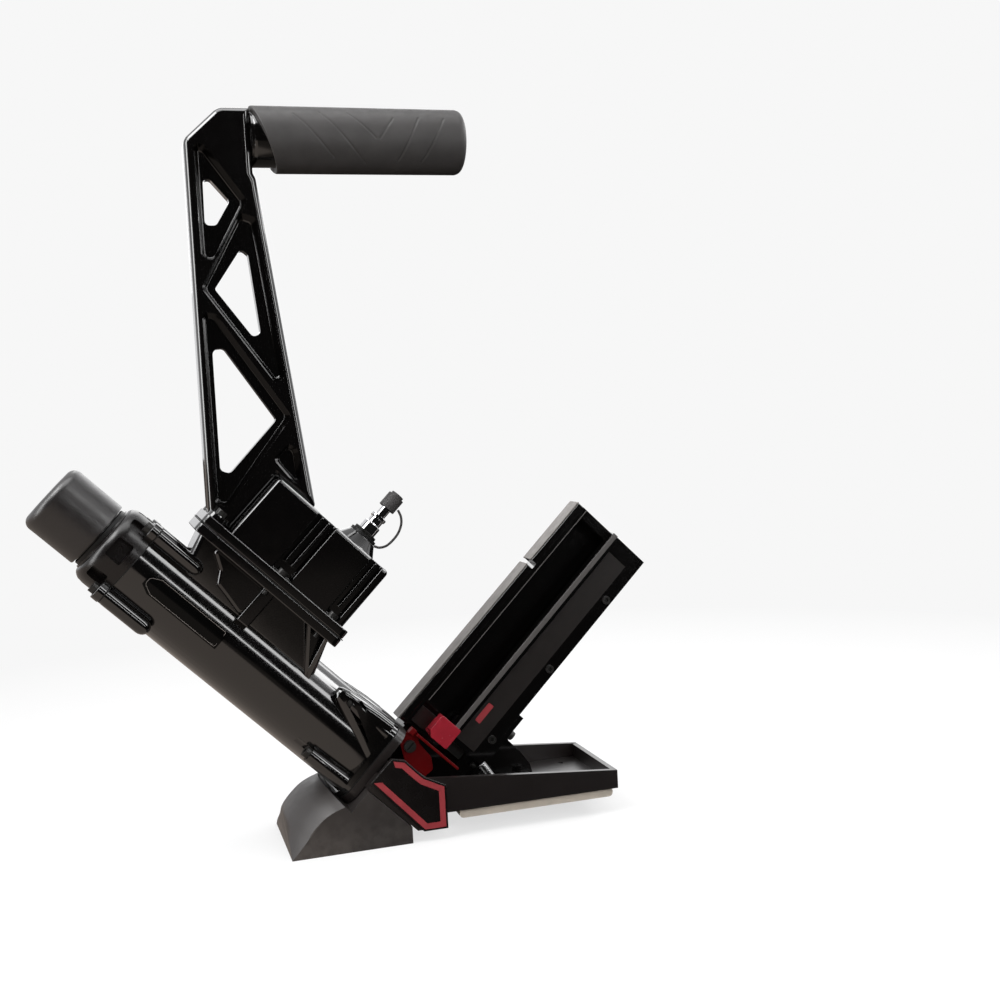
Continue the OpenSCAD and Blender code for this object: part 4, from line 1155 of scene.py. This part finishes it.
# Boxes of the rolled edges of the cover and of the channel, both painted light grey as a highlight: w, y and s
# from and to
COVER_LIP = (50.3, 252.7, -17.0, -16.2, 25.3, 29.2)
CHANNEL_EDGE = (62, 252.4, -8.4, -8.02, 55.4, 56.2)
# Ribs inside the gallery: s of each, half height, then w and y from and to
GALLERY_RIB_S = (12, 20, 28, 36, 44)
GALLERY_RIB_HALF = 0.7
GALLERY_RIB_W, GALLERY_RIB_Y = (64, 243), (6.65, 7.2)
RED_TAG = [(73, 14), (90, 14), (90, 19), (73, 19)]


def make_magazine():
    """Rails, rolled edges painted light grey as a highlight, inner ribs and the red tag of the magazine."""
    strips, beds = [], []
    for w0, w1 in RAIL_SPANS:
        strip = block("strip", w0, w1, -RAIL_HALF, RAIL_HALF, STRIP_S, RAIL_S1, barrel)
        bed_half = RAIL_HALF + 0.6
        bed = block("bed", w0 + 0.4, w1 - 0.4, -bed_half, bed_half, RAIL_S0, STRIP_S, barrel)
        strips.append(soften(strip, 0.35))
        beds.append(soften(bed, 0.5))
    stand_for(join("rail_strips", strips), "top_rails")
    ride_as(join("rail_beds", beds), "frame", "black_casting")
    # The rolled edges are black steel coloured light grey: a painted highlight
    for name, corners, width in (("cover_lip_highlight", COVER_LIP, 0.3), ("channel_edge", CHANNEL_EDGE, 0.12)):
        ride_as(soften(block(name, *corners, barrel), width), "frame", "black_steel", finish="cover_lip_highlight")
    ribs = []
    for s in GALLERY_RIB_S:
        span = (s - GALLERY_RIB_HALF, s + GALLERY_RIB_HALF)
        rib = block("rib", *GALLERY_RIB_W, *GALLERY_RIB_Y, *span, barrel)
        ribs.append(soften(rib, 0.15))
    ride_as(join("gallery_ribs", ribs), "frame", "black_casting")
    tag_face, tag_back = -MAGAZINE_HALF - 0.45, -MAGAZINE_HALF - 0.2
    ride_as(prism("red_tag", rounded(RED_TAG, 0.8), tag_face, tag_back, barrel), "frame", "red_ink")


LATCH_PLATE = [
    (13.6, 25.8, 3), (24.9, 23.5, 3), (31, 31, 5), (33, 45, 5), (38, 52, 1), (38, 57, 1), (33, 58.4),
    (24, 57, 3), (15.5, 44, 5),
]
LATCH_PIN, LATCH_PIN_R = (27, 50), 2.6
LATCH_THICKNESS = 1.6
# Its flange and tip: w from and to, depth across the tool, s from and to
LATCH_BLOCKS = (("flange", 36, 38, 9, 11, 53), ("tip", 34, 39, 6, 54, 58.4))


def make_latch():
    """Red latch: pivoted plate, long thin flange and hooked tip."""
    back_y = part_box("release_latch")[1].y / MM
    plate = prism("plate", rounded(LATCH_PLATE, 2), back_y - LATCH_THICKNESS, back_y, barrel)
    hub = barrel(LATCH_PIN[0], back_y, LATCH_PIN[1])
    hole = [(0.2, -6), (LATCH_PIN_R, -6), (LATCH_PIN_R, 6), (0.2, 6)]
    cut(plate, [lathe("pin_hole", hole, hub, ACROSS, 32)])
    blocks = [
        block(name, w0, w1, back_y - depth, back_y, s0, s1, barrel)
        for name, w0, w1, depth, s0, s1 in LATCH_BLOCKS
    ]
    latch = join("latch", [soften(part, 0.45) for part in (plate, *blocks)])
    stand_for(latch, "release_latch", finish="latch_red")


SPACER_FOOT, SPACER_WAY = tool(-34.5, -12, 30.5), Vector((0.545, 0, -0.838))
SPACER = [(0.3, 0), (2.9, 0), (3.4, 0.6), (3.4, 19), (2.9, 19.6), (0.3, 19.6)]


def make_spacer():
    """Spacer between the magazine's bracket and the foot."""
    ride_as(lathe("bracket_spacer", SPACER, SPACER_FOOT, SPACER_WAY, 40), "frame", "plated_steel")


make_arm()
make_grip()
make_grip_root()
make_cap()
make_head()
make_tether()
make_springs()
make_chamber()
make_mount()
make_housing_trim()
make_shoe()
make_decals()
make_badge_border()
make_magazine()
make_latch()
make_spacer()

# ---------------------------------------------------------------- rounded castings

# Node, the piece's name, width of its rounded edges, finish where it isn't the slot's
for node, name, width, finish in (
    ("body_housing", "housing_casting", 0.8, None),
    ("base_frame", "foot_casting", 0.7, "foot_casting"),
    ("sole_plate", "sole_pad", 1.2, None),
    ("guide_plate_near", "near_guide_plate", 0.4, None),
    ("guide_plate_far", "far_guide_plate", 0.4, None),
    ("magazine_body", "magazine_channel", 0.4, "black_casting"),
    ("magazine_cover", "magazine_side", 0.4, None),
    ("support_bracket", "magazine_bracket", 0.6, None),
    ("pusher_knob", "knob", 0.8, None),
):
    refined(node, name, width, finish)
